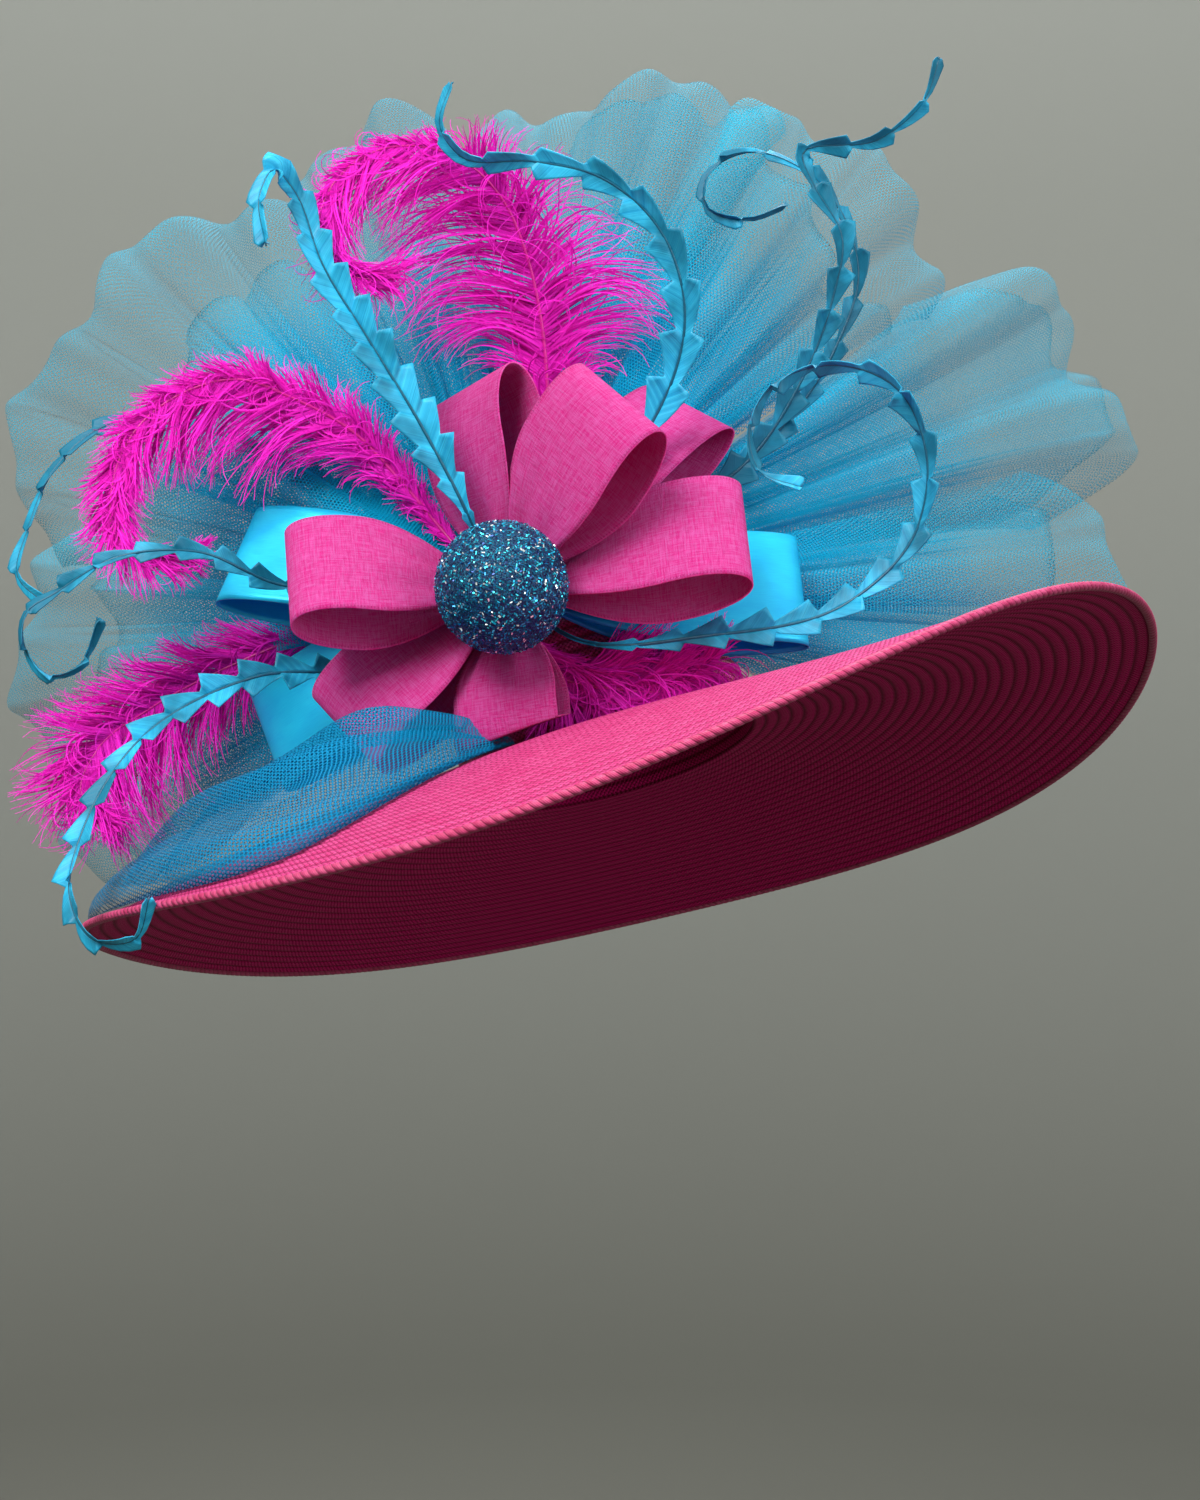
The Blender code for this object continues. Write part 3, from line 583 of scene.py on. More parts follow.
HUB = np.array([-0.0530, -0.1200, 0.0825])
POST_RADIUS = 0.0130
ROOT_GAP = 0.0009
CLEARANCE = 0.0004
SPRAY = 0.487
LINEN_WIDTH = 0.063
LINEN_REACH = 0.100
LINEN_FULLNESS = 0.036
SATIN_WIDTH = 0.060
SATIN_REACH = 0.148
SATIN_FULLNESS = 0.026
RIBBON_PINCH = 0.011
RIBBON = 0.0008
LOOP_LIFT = 0.0060
PLEAT = 0.0022
LOOP_ROWS = 101
LOOP_COLUMNS = 19
THREAD = 0.00055
SELVEDGE = 0.0018
LADDER = 0.0016
LINEN_PINK = (0.96, 0.016, 0.33)
LINEN_LIGHT = (1.00, 0.170, 0.62)
LINEN_SHADE = (0.60, 0.003, 0.17)
SATIN_BLUE = (0.012, 0.66, 1.00)
SATIN_DEEP = (0.003, 0.50, 0.92)

Loop = namedtuple("Loop", "bearing reach width full turn lean out")
LINEN_LOOPS = [
    # Degrees from right to up, shares of reach, width and fullness, then degrees, then a share of the spray
    Loop(98, 1.09, 1.00, 1.00, 50, -10, -0.036),
    Loop(58, 1.12, 1.00, 1.05, 35, 19, -0.010),
    Loop(46, 1.40, 0.92, 0.90, 35, -16, -0.045),
    Loop(13, 1.22, 1.00, 1.05, 38, 12, -0.010),
    Loop(177, 1.06, 1.00, 1.00, -42, 15, -0.010),
    Loop(222, 1.04, 1.00, 0.95, -36, 5, -0.022),
    Loop(274, 0.80, 0.82, 0.80, -16, 20, -0.016),
]
SATIN_LOOPS = [
    Loop(171, 1.00, 1.00, 1.00, -30, -16, -0.060),
    Loop(210, 1.03, 1.00, 1.00, -22, -18, -0.070),
    Loop(1, 1.02, 1.00, 1.00, 20, -10, -0.042),
]


def from_hub(points):
    """Place points that hold metres to the wearer's right, up and out from the hub in the hat's own axes."""
    upright = np.stack([points[..., 0], -points[..., 2], points[..., 1]], axis=-1) + HUB
    return upright @ WORN.T


def brim_share(x, y):
    """A place's share of the way from the brim's root to its rim, found by halving, and its turn."""
    low, high = np.zeros_like(x), np.full_like(x, 1.5)
    for _ in range(30):
        middle = (low + high) / 2
        half_width, half_length = brim_halves(middle)
        outside = (x / half_width) ** 2 + (y / half_length) ** 2 > 1.0
        low, high = np.where(outside, middle, low), np.where(outside, high, middle)
    return low, np.arctan2(y / half_length, x / half_width)


def clear_of_straw(points, gap):
    """Lift points that lie under the brim's top plus a gap, and push those inside the crown out of it.

    The crown's fullness is the n-th root of oval^n + height^n, and a point inside is divided by it.
    """
    placed = points.copy()
    share, turn = brim_share(placed[..., 0], placed[..., 1])
    floor = brim_point(turn, share)[..., 2] + gap
    lifted = (share < 1.0) & (placed[..., 2] < floor) & (placed[..., 2] > floor - 0.08)
    placed[..., 2] = np.where(lifted, floor, placed[..., 2])
    half = np.array([HEAD_WIDTH / 2 + STRAW + gap, HEAD_LENGTH / 2 + STRAW + gap, CROWN_HEIGHT + gap])
    ratio = placed / half
    oval = np.hypot(ratio[..., 0], ratio[..., 1])
    power = CROWN_SQUARENESS
    fullness = (oval ** power + np.maximum(ratio[..., 2], 0.0) ** power) ** (1 / power)
    return placed / np.where(fullness < 1.0, np.maximum(fullness, 0.05), 1.0)[..., None]


def linen_material():
    """Slubby plain weave: thick and thin threads run both ways, and a tight selvedge edges the ribbon."""
    material, tree, shader, where = new_material(
        "pink_linen", Roughness=0.78, Specular_IOR_Level=0.12, Sheen_Weight=0.10, Sheen_Roughness=0.4,
        Sheen_Tint=(1.0, 0.55, 0.80, 1.0))
    place = where.outputs["UV"]
    across, along, _ = components(tree, place)
    height, tone = place_weave(tree, calc(tree, "MULTIPLY", across, 1 / THREAD),
                               calc(tree, "MULTIPLY", along, 1 / THREAD))
    warp_slub = noise(tree, place, 1.0, 2.0, (1300.0, 110.0, 1.0))
    weft_slub = noise(tree, place, 1.0, 2.0, (110.0, 1300.0, 1.0))
    slub = calc(tree, "MULTIPLY", calc(tree, "ADD", warp_slub, weft_slub), 0.5)
    slub = spread(tree, slub, 0.41, 0.57)
    level = calc(tree, "MULTIPLY_ADD", tone, 0.3, calc(tree, "MULTIPLY", slub, 0.7))
    colour = tint(tree, level, LINEN_PINK, LINEN_LIGHT)
    colour = tint(tree, spread(tree, height, 0.05, 0.55), LINEN_SHADE, colour)
    rim = calc(tree, "SUBTRACT", LINEN_WIDTH / 2, calc(tree, "ABSOLUTE", across))
    inside = spread(tree, rim, SELVEDGE * 0.8, SELVEDGE)
    ladder = calc(tree, "SINE", calc(tree, "MULTIPLY", along, 2 * math.pi / LADDER))
    hole = calc(tree, "MULTIPLY", spread(tree, ladder, 0.2, 0.7),
                calc(tree, "MULTIPLY", spread(tree, rim, SELVEDGE, SELVEDGE * 0.9),
                     spread(tree, rim, 0.0004, 0.0006)))
    paint(tree, shader, tint(tree, calc(tree, "MULTIPLY", hole, 0.55), colour, LINEN_SHADE))
    relief = calc(tree, "MULTIPLY_ADD", slub, 0.5, height)
    relief = calc(tree, "MULTIPLY_ADD", inside, -0.5, relief)
    add_bump(tree, shader, relief, 0.0005)
    return material


def satin_material():
    """Smooth satin: fine floats along the ribbon, a soft shine, and clouds of a deeper blue."""
    material, tree, shader, where = new_material("blue_satin", Metallic=0.35, Anisotropic=0.5)
    place = where.outputs["UV"]
    floats = noise(tree, place, 1.0, 2.0, (2600.0, 120.0, 1.0))
    cloud = noise(tree, place, 1.0, 2.0, (60.0, 30.0, 1.0))
    level = calc(tree, "MULTIPLY_ADD", floats, 0.35, calc(tree, "MULTIPLY", cloud, 0.65))
    colour = tint(tree, spread(tree, level, 0.35, 0.65), SATIN_DEEP, SATIN_BLUE)
    paint(tree, shader, colour, spread(tree, floats, 0.3, 0.7, 0.30, 0.42))
    add_bump(tree, shader, floats, 0.00012, 0.6)
    return material


def thicken(piece, thickness):
    """Give a sheet its wall, half of it to each side."""
    wall = piece.modifiers.new("wall", "SOLIDIFY")
    wall.thickness = thickness
    wall.offset = 0.0


def add_loop(name, loop, reach, width, fullness, material):
    """A ribbon that leaves the post, swells into a drop-shaped loop and comes back under itself.

    Along the loop with phase p, the distance out is (1 - cos p) / 2 of the reach, and the swell to either
    side is sin p times a power of that distance. The width opens from a pinch to the whole ribbon, and
    pleats, a sine across it, run out from the pinch and die away.
    """
    bearing, turn, lean = np.radians([loop.bearing, loop.turn, loop.lean])
    away = np.array([math.cos(bearing) * math.cos(lean), math.sin(bearing) * math.cos(lean), math.sin(lean)])
    flat = np.array([math.sin(bearing), -math.cos(bearing), 0.0])
    across = flat * math.cos(turn) + np.cross(flat, away) * math.sin(turn)
    swell = np.cross(across, away)
    phase = np.linspace(0.07, 0.93, LOOP_ROWS) * 2 * math.pi
    far = (1 - np.cos(phase)) / 2
    far = np.clip((far - far[0]) / (far.max() - far[0]), 0.0, 1.0)
    length = loop.reach * reach - POST_RADIUS - ROOT_GAP
    thickness = np.sin(phase) * (0.05 + far ** 0.6) * loop.full * fullness / 2
    opening = 1 - (1 - np.clip(far / 0.62, 0, 1)) ** 1.8
    opening = RIBBON_PINCH + (loop.width * width - RIBBON_PINCH) * opening
    root = np.array([math.cos(bearing), math.sin(bearing), 0.0]) * (POST_RADIUS + ROOT_GAP)
    root = root + [0.0, 0.0, loop.out * SPRAY]
    path = root + away * (far * length)[:, None] + swell * thickness[:, None]
    share = np.linspace(-0.5, 0.5, LOOP_COLUMNS)
    fade = np.clip(1 - far / 0.75, 0, 1)[:, None] ** 1.5
    pleats = PLEAT * np.sin(5 * math.pi * share + loop.bearing) * fade
    points = path[:, None] + across * (opening[:, None] * share)[..., None] + swell * pleats[..., None]
    points = clear_of_straw(from_hub(points), CLEARANCE + LOOP_LIFT)
    run = run_along(path)
    piece = add_grid(name, points, grid_places(width * share, run[:, None]))
    thicken(piece, RIBBON)
    dress(piece, material, name.replace("ribbon", "loop"))


def add_loops():
    """The linen loops first, then the satin ones."""
    linen, satin = linen_material(), satin_material()
    for number, loop in enumerate(LINEN_LOOPS, 1):
        add_loop(f"linen_ribbon_{number}", loop, LINEN_REACH, LINEN_WIDTH, LINEN_FULLNESS,
                 linen)
    for number, loop in enumerate(SATIN_LOOPS, 1):
        add_loop(f"satin_ribbon_{number}", loop, SATIN_REACH, SATIN_WIDTH, SATIN_FULLNESS,
                 satin)


add_loops()


# Glitter ball and its post
# The ball is foam rolled in glue and then in glitter: small oblong flakes of foil, mostly teal and navy. It
# is pinned on the front of a cloth-bound post that holds the roots of all the trims.

BALL_DIAMETER = 0.0635
FLAKES = 6400
FLAKE_LENGTH = 0.0017
FLAKE_WIDTH = 0.0007
FLAKE = 0.00006
FLAKE_TILT = 0.42
FLAKE_DEPTH = 0.0003
GLITTER = [
    # The share of the flakes at which each colour starts
    (0.0, (0.004, 0.030, 0.150)),
    (0.30, (0.001, 0.14, 0.34)),
    (0.55, (0.002, 0.42, 0.66)),
    (0.78, (0.06, 0.80, 1.00)),
    (0.92, (0.85, 0.98, 1.0)),
]
GLUE_NAVY = (0.003, 0.020, 0.075)
GLUE_TEAL = (0.004, 0.20, 0.34)
POST_WEAVE_SHADE = (0.18, 0.01, 0.06)
POST_PINK = (0.60, 0.05, 0.25)
POST_LIGHT = (0.75, 0.10, 0.33)
POST_THREADS = 900.0


def stored(tree, name):
    """Read a value that is stored at the mesh's points."""
    node = tree.nodes.new("ShaderNodeAttribute")
    node.attribute_name = name
    return node.outputs["Fac"]


def glitter_material():
    """Foil whose colour is one of five for each flake: navy, two teals, cyan or near white."""
    material, tree, shader, _ = new_material("glitter_foil", Metallic=0.55)
    ramp = tree.nodes.new("ShaderNodeValToRGB")
    ramp.color_ramp.interpolation = "CONSTANT"
    for number, (place, colour) in enumerate(GLITTER):
        element = ramp.color_ramp.elements[number] if number < 2 else ramp.color_ramp.elements.new(place)
        element.position = place
        element.color = (*colour, 1.0)
    tree.links.new(stored(tree, "pick"), ramp.inputs["Fac"])
    paint(tree, shader, ramp.outputs["Color"], spread(tree, stored(tree, "dullness"), 0.0, 1.0, 0.12, 0.40))
    return material


def ball_material():
    """The glue coat between the flakes: navy with a fine glitter grain."""
    material, tree, shader, where = new_material("glitter_ground", Roughness=0.35, Metallic=0.4)
    grain = noise(tree, where.outputs["Object"], 1500.0, 2.0)
    paint(tree, shader, tint(tree, spread(tree, grain, 0.45, 0.70), GLUE_NAVY, GLUE_TEAL))
    add_bump(tree, shader, grain, 0.0006)
    return material


def store(piece, name, value):
    """Store a value at each of the mesh's points."""
    layer = piece.data.attributes.new(name, "FLOAT", "POINT")
    layer.data.foreach_set("value", value.ravel())


def add_ball():
    """A turned ball, and flakes at even places of a golden spiral over it, each turned at random."""
    radius = BALL_DIAMETER / 2
    centre = from_hub(np.array([0.0, 0.0, radius + CLEARANCE]))
    rise = np.linspace(-math.pi / 2 + 0.05, math.pi / 2 - 0.05, 33)
    sphere = turned_shape(np.cos(rise), np.sin(rise), whole_turn(64))
    core = centre + sphere * (radius - 2 * FLAKE_DEPTH)
    ball = add_grid("ball_core", core, close_columns=True, caps=(0, -1))
    dress(ball, ball_material(), "glitter_ball")

    chance = np.random.default_rng(11)
    number = np.arange(FLAKES) + 0.5
    up = 1 - 2 * number / FLAKES
    around = math.pi * (1 + 5 ** 0.5) * number
    level = np.sqrt(1 - up ** 2)
    normal = np.stack([level * np.cos(around), level * np.sin(around), up], axis=-1)
    face = unit(normal + chance.normal(0, FLAKE_TILT, (FLAKES, 3)))
    long_way = unit(np.cross(face, chance.normal(0, 1, (FLAKES, 3))))
    wide_way = np.cross(face, long_way)
    half = np.stack([FLAKE_LENGTH * chance.uniform(0.35, 1.0, FLAKES) / 2,
                     FLAKE_WIDTH * chance.uniform(0.6, 1.2, FLAKES) / 2], axis=-1)
    middle = centre + normal * (radius - FLAKE_DEPTH + chance.uniform(-0.0003, 0.0004, FLAKES))[:, None]
    corner = np.array([[-1, -1], [1, -1], [1, 1], [-1, 1]])
    ring = (long_way[:, None] * (corner[None, :, 0] * half[:, None, 0])[..., None]
            + wide_way[:, None] * (corner[None, :, 1] * half[:, None, 1])[..., None])
    sides = np.array([-FLAKE, FLAKE])[:, None, None] / 2
    points = middle[:, None, None] + ring[:, None] + face[:, None, None] * sides
    flakes = add_grid("ball_glitter", points, close_columns=True, caps=(0, -1))
    flakes.data.shade_flat()
    for name, picks in zip(("pick", "dullness"), chance.uniform(0, 1, (FLAKES, 2)).T):
        store(flakes, name, np.repeat(picks, points[0].size // 3))
    dress(flakes, glitter_material())


def post_material():
    """Pink crinoline bound round the post: an open coarse weave, with painted shade on its low threads."""
    material, tree, shader, where = new_material("bound_post", Roughness=0.85)
    right, _, up = components(tree, where.outputs["Object"])
    height, tone = place_weave(tree, calc(tree, "MULTIPLY", right, POST_THREADS),
                               calc(tree, "MULTIPLY", up, POST_THREADS))
    # Painted shade: the weave's low parts, between the threads, take a dark colour.
    colour = tint(tree, spread(tree, height, 0.1, 0.6), POST_WEAVE_SHADE, POST_PINK)
    paint(tree, shader, tint(tree, calc(tree, "MULTIPLY", tone, 0.4), colour, POST_LIGHT))
    add_bump(tree, shader, height, 0.0005)
    return material


add_ball()
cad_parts["trim_base"].data.materials.clear()
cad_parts["trim_base"].data.materials.append(post_material())


# Notched feathers
# Eight trimmed goose feathers curl out between the loops. Each is a dark quill with a flat vane on both
# sides, dyed turquoise, cut into saw teeth that point to the tip, and twisted over where the quill curls.

QUILL_WIDTH = 0.0022
QUILL_ENDS = (0.0021, 0.0007)
VANE_WIDTH = 0.024
VANE = 0.0004
VANE_SLANT = 0.9
TOOTH_ROWS = (0.0, 0.22, 0.44, 0.66, 0.86, 0.89, 0.93, 0.97)
VANE_BLUE = (0.004, 0.32, 0.62)
VANE_LIGHT = (0.045, 0.62, 0.92)
VANE_DEEP = (0.001, 0.13, 0.22)
QUILL_TEAL = (0.003, 0.060, 0.110)
QUILL_LIGHT = (0.01, 0.16, 0.26)

Feather = namedtuple("Feather", "width cut teeth twist dye rows")
NOTCHED_FEATHERS = [
    # Share of the vane's width and what the cuts leave of it, teeth on a side, twist at the tip in degrees,
    # how deep the dye is, then rows of right, up and out in shares of the spray
    Feather(1.10, 0.44, 14, 35, 0.15, [
        (-0.018, 0.025, -0.050), (-0.034, 0.070, -0.012), (-0.080, 0.160, 0.010), (-0.135, 0.250, 0.020),
        (-0.178, 0.320, 0.030), (-0.208, 0.395, 0.040), (-0.222, 0.408, 0.055), (-0.235, 0.380, 0.065),
        (-0.228, 0.330, 0.070)]),
    Feather(1.00, 0.30, 14, -50, 0.20, [
        (0.009, 0.028, -0.036), (0.070, 0.095, -0.036), (0.143, 0.165, -0.030), (0.180, 0.290, 0.000),
        (0.155, 0.360, 0.010), (0.095, 0.410, 0.020), (0.030, 0.424, 0.025), (-0.045, 0.430, 0.030),
        (-0.062, 0.455, 0.035), (-0.050, 0.498, 0.040)]),
    Feather(0.85, 0.12, 18, 55, 0.60, [
        (0.026, 0.014, -0.070), (0.120, 0.080, -0.100), (0.240, 0.135, -0.110), (0.306, 0.228, -0.100),
        (0.338, 0.315, -0.090), (0.346, 0.372, -0.080), (0.316, 0.426, -0.075), (0.304, 0.455, -0.075),
        (0.384, 0.472, -0.070), (0.430, 0.512, -0.065), (0.444, 0.553, -0.060)]),
    Feather(0.55, 0.10, 18, 60, 0.60, [
        (0.028, 0.008, -0.080), (0.125, 0.065, -0.125), (0.228, 0.128, -0.140), (0.344, 0.266, -0.130),
        (0.368, 0.345, -0.125), (0.346, 0.412, -0.115), (0.303, 0.452, -0.105), (0.249, 0.466, -0.100),
        (0.206, 0.438, -0.095), (0.206, 0.406, -0.090), (0.249, 0.393, -0.085), (0.289, 0.410, -0.085)]),
    Feather(0.80, 0.22, 19, -75, 0.35, [
        (0.024, -0.017, -0.055), (0.075, -0.048, -0.020), (0.195, -0.046, 0.020), (0.345, -0.010, 0.030),
        (0.403, 0.050, 0.040), (0.415, 0.130, 0.050), (0.382, 0.197, 0.058), (0.323, 0.216, 0.064),
        (0.264, 0.196, 0.070), (0.240, 0.158, 0.076), (0.250, 0.110, 0.082), (0.290, 0.094, 0.086)]),
    Feather(0.85, 0.22, 18, 60, 0.25, [
        (-0.024, -0.018, -0.042), (-0.135, -0.072, -0.084), (-0.255, -0.086, -0.010), (-0.350, -0.144, 0.050),
        (-0.396, -0.228, 0.100), (-0.402, -0.296, 0.140), (-0.370, -0.334, 0.176), (-0.328, -0.330, 0.196),
        (-0.314, -0.292, 0.208)]),
    Feather(0.55, 0.15, 16, 60, 0.70, [
        (-0.029, 0.004, -0.036), (-0.130, 0.010, -0.056), (-0.230, 0.010, -0.040), (-0.308, 0.040, 0.000),
        (-0.385, 0.032, 0.020), (-0.443, -0.002, 0.020), (-0.473, -0.024, 0.025), (-0.472, -0.058, 0.030),
        (-0.443, -0.086, 0.035), (-0.414, -0.073, 0.040), (-0.397, -0.028, 0.045)]),
    Feather(0.75, 0.25, 16, 50, 0.55, [
        (-0.022, 0.020, -0.080), (-0.080, 0.060, -0.130), (-0.200, 0.130, -0.160), (-0.340, 0.185, -0.150),
        (-0.424, 0.186, -0.130), (-0.474, 0.140, -0.110), (-0.500, 0.074, -0.095), (-0.508, 0.020, -0.085),
        (-0.480, -0.006, -0.080)]),
]


def cubic_curve(knots, times, wanted):
    """A curve through the knots, at the wanted times. Each stretch between two knots is a cubic whose
    slopes at its ends come from the neighbours on both sides."""
    slopes = np.gradient(knots, times, axis=0)
    start = np.clip(np.searchsorted(times, wanted, side="right") - 1, 0, len(knots) - 2)
    width = np.diff(times)[start][:, None]
    part = (wanted - times[start])[:, None] / width
    return ((2 * part ** 3 - 3 * part ** 2 + 1) * knots[start]
            + (part ** 3 - 2 * part ** 2 + part) * width * slopes[start]
            + (3 * part ** 2 - 2 * part ** 3) * knots[start + 1]
            + (part ** 3 - part ** 2) * width * slopes[start + 1])


def smooth_path(rows, places):
    """Points at shares of the length of a curve through the rows, which hold shares of the spray. The first
    row is brought to the side of the post, and the shares are measured along the curve."""
    knots = np.asarray(rows, dtype=float) * SPRAY
    knots[0, :2] *= (POST_RADIUS + ROOT_GAP) / np.hypot(knots[0, 0], knots[0, 1])
    times = run_along(knots)
    curve = cubic_curve(knots, times, np.linspace(0.0, times[-1], 1200))
    lengths = run_along(curve)
    return np.stack([np.interp(places, lengths / lengths[-1], curve[:, axis]) for axis in range(3)], axis=-1)


def quill_frame(rows, places):
    """Points of a quill with unit vectors along it, across it and to its front, and its length in metres."""
    path = smooth_path(rows, places)
    before, after = (smooth_path(rows, np.clip(places + step, 0, 1)) for step in (-0.004, 0.004))
    along = unit(after - before)
    across = unit(np.cross([0.0, 0.0, 1.0], along))
    length = run_along(smooth_path(rows, np.linspace(0, 1, 200)))[-1]
    return path, along, across, np.cross(along, across), length


def add_quill(name, rows, ends, material):
    """A round tapered shaft: a ring of eight points carried along the quill, with both ends filled. The ends
    are its widths at the root and the tip."""
    places = np.linspace(0.0, 1.0, 90)
    path, _, across, front, _ = quill_frame(rows, places)
    width = ends[0] + (ends[1] - ends[0]) * places
    angle = whole_turn(8)
    ring = (across[:, None] * np.cos(angle)[:, None] + front[:, None] * np.sin(angle)[:, None])
    points = clear_of_straw(from_hub(path[:, None] + ring * (width / 2)[:, None, None]), CLEARANCE)
    dress(add_grid(name, points, close_columns=True, caps=(0, -1)), material)


def vane_material():
    """Barbs run slantwise from the quill as fine light and dark lines, and the vane is clouded by the dye."""
    material, tree, shader, where = new_material("turquoise_vane", Specular_IOR_Level=0.3)
    place = where.outputs["UV"]
    barbs = noise(tree, place, 1.0, 3.0, (1500.0, 6.0, 1.0))
    clumps = noise(tree, place, 1.0, 2.0, (260.0, 3.0, 1.0))
    cloud = noise(tree, where.outputs["Object"], 36.0, 3.0)
    level = calc(tree, "MULTIPLY_ADD", barbs, 0.45, calc(tree, "MULTIPLY", clumps, 0.55))
    colour = tint(tree, spread(tree, level, 0.36, 0.62), VANE_BLUE, VANE_LIGHT)
    depth = calc(tree, "ADD", spread(tree, cloud, 0.36, 0.64, -0.35, 0.60), stored(tree, "dye"))
    colour = tint(tree, spread(tree, depth, 0.0, 0.90, 0.0, 0.90), colour, VANE_DEEP)
    colour = tint(tree, spread(tree, barbs, 0.30, 0.40, 0.5, 0.0), colour, VANE_DEEP)
    paint(tree, shader, colour, spread(tree, barbs, 0.3, 0.7, 0.36, 0.55))
    add_bump(tree, shader, level, 0.0004)
    return material


def quill_material(name, dark, light):
    """Smooth horn with a little streaking along it."""
    material, tree, shader, where = new_material(name, Roughness=0.35)
    streak = noise(tree, where.outputs["Object"], 300.0)
    paint(tree, shader, tint(tree, streak, dark, light))
    add_bump(tree, shader, streak, 0.0002)
    return material


def add_notched_feather(number, feather, vane, horn):
    """A quill and the two halves of its vane.

    The vane's outer edge rises evenly along each tooth from what the cut leaves to the whole half width,
    and falls back over the tooth's last seventh. Each barb slants back from the edge to the quill. The
    halves are lifted a little from the quill, each tooth by its own tilt, and the whole turns about the
    quill towards the tip.
    """
    rise = np.interp(TOOTH_ROWS, (0.0, 0.86, 0.97), (feather.cut, 1.0, feather.cut))
    edge = ((np.arange(feather.teeth)[:, None] + TOOTH_ROWS) / feather.teeth).ravel()
    edge = np.append(edge, 1.0)
    tooth = np.append(np.tile(rise, feather.teeth), feather.cut)
    in_tooth = np.append(np.tile(TOOTH_ROWS, feather.teeth), 0.0)
    full = np.clip((edge - 0.10) / 0.20, 0.0, 1.0) * (1.0 - 0.75 * edge ** 2)
    half = QUILL_WIDTH / 2 + feather.width * VANE_WIDTH / 2 * full * tooth
    length = quill_frame(feather.rows, edge)[4]
    out = np.linspace(0.0, 1.0, 6)
    root = edge - half * VANE_SLANT / length
    places = np.clip(root[:, None] + (edge - root)[:, None] * out, 0.0, 1.0)
    path, _, across, front, _ = quill_frame(feather.rows, places.ravel())
    turn = np.radians(feather.twist) * places.ravel()[:, None] ** 1.4
    across, front = across * np.cos(turn) + front * np.sin(turn), front * np.cos(turn) - across * np.sin(turn)
    path, across, front = (part.reshape(*places.shape, 3) for part in (path, across, front))
    chance = np.random.default_rng(60 + number)
    for side, word in ((1, "left"), (-1, "right")):
        tilt = np.append(np.repeat(chance.uniform(-0.002, 0.005, feather.teeth), len(TOOTH_ROWS)), 0.0)
        away = (half[:, None] * out)[..., None]
        lift = (0.16 * half[:, None] * out ** 1.3 + (tilt * in_tooth)[:, None] * out)[..., None]
        points = clear_of_straw(from_hub(path + across * away * side + front * lift), CLEARANCE + VANE)
        uv = grid_places(root[:, None] * length, half[:, None] * out)
        piece = add_grid(f"notched_{number}_{word}_vane", points, uv)
        store(piece, "dye", np.full(len(piece.data.vertices), feather.dye))
        thicken(piece, VANE)
        dress(piece, vane, f"notched_feather_{number}")
    add_quill(f"notched_{number}_quill", feather.rows, QUILL_ENDS, horn)


def add_notched_feathers():
    """All eight, in the order in which they lie round the spray."""
    vane = vane_material()
    horn = quill_material("teal_horn", QUILL_TEAL, QUILL_LIGHT)
    for number, feather in enumerate(NOTCHED_FEATHERS, 1):
        add_notched_feather(number, feather, vane, horn)


add_notched_feathers()


# Ostrich plumes
# Four plumes, dyed magenta. Long limp barbs leave the quill on both sides, bunch into locks, and curl at
# their ends. Each barb carries its own short down, which makes the plume fluffy.

PLUME_BARB = 0.082
BARBS = 2000
BARB_STEPS = 12
BARB_WIDTH = 0.0011
DOWN = 20000
DOWN_LENGTH = 0.0034
DOWN_WIDTH = 0.00026
BARB_PLACES = (0.0, 0.20, 0.35, 0.50, 0.65, 0.80, 0.90, 1.0)
PLUME_MAGENTA = (0.80, 0.002, 0.47)
PLUME_LIGHT = (1.00, 0.030, 0.72)
PLUME_DEEP = (0.34, 0.001, 0.24)
PLUME_QUILL_ENDS = (0.0024, 0.0006)
HORN_RED = (0.55, 0.004, 0.22)
HORN_PINK = (0.85, 0.030, 0.42)
LOCK = 0.024
SAG = 3.2

Plume = namedtuple("Plume", "left right rows")
PLUMES = [
    # Shares of the barb's length to the left and right of the quill at the places above, then its rows
    Plume((0, .30, .90, .85, .55, .50, .46, .34), (0, .35, .95, .62, .16, .14, .20, .22), [
        (0.010, 0.026, -0.085), (0.018, 0.070, -0.108), (0.042, 0.165, -0.138), (0.040, 0.225, -0.130),
        (0.034, 0.292, -0.120), (0.018, 0.362, -0.105), (-0.002, 0.408, -0.090), (-0.030, 0.438, -0.070),
        (-0.069, 0.455, -0.050), (-0.126, 0.452, -0.035), (-0.173, 0.414, -0.020), (-0.187, 0.363, -0.010),
        (-0.162, 0.320, 0.000), (-0.120, 0.308, 0.010)]),
    Plume((0, .30, .70, .65, .45, .35, .30, .12), (0, .30, .40, .28, .25, .30, .30, .12), [
        (-0.022, 0.018, -0.070), (-0.058, 0.058, -0.100), (-0.112, 0.122, -0.110), (-0.164, 0.176, -0.110),
        (-0.226, 0.210, -0.105), (-0.282, 0.228, -0.095), (-0.338, 0.212, -0.085), (-0.386, 0.168, -0.070),
        (-0.405, 0.115, -0.060), (-0.400, 0.062, -0.050), (-0.350, 0.036, -0.045), (-0.312, 0.044, -0.040)]),
    Plume((0, .10, .30, .50, .65, .70, .50, .15), (0, .10, .35, .50, .58, .58, .42, .12), [
        (-0.025, -0.014, -0.085), (-0.062, -0.033, -0.110), (-0.150, -0.042, -0.180),
        (-0.232, -0.039, -0.205), (-0.318, -0.072, -0.200), (-0.390, -0.115, -0.170),
        (-0.435, -0.158, -0.125), (-0.448, -0.200, -0.105), (-0.420, -0.232, -0.090)]),
    Plume((0, .62, .78, .70, .60, .54, .54, .50), (0, .40, .48, .46, .44, .46, .50, .50), [
        (0.006, -0.028, -0.045), (0.050, -0.082, -0.045), (0.110, -0.096, -0.040), (0.165, -0.098, -0.035),
        (0.195, -0.090, -0.035)]),
]


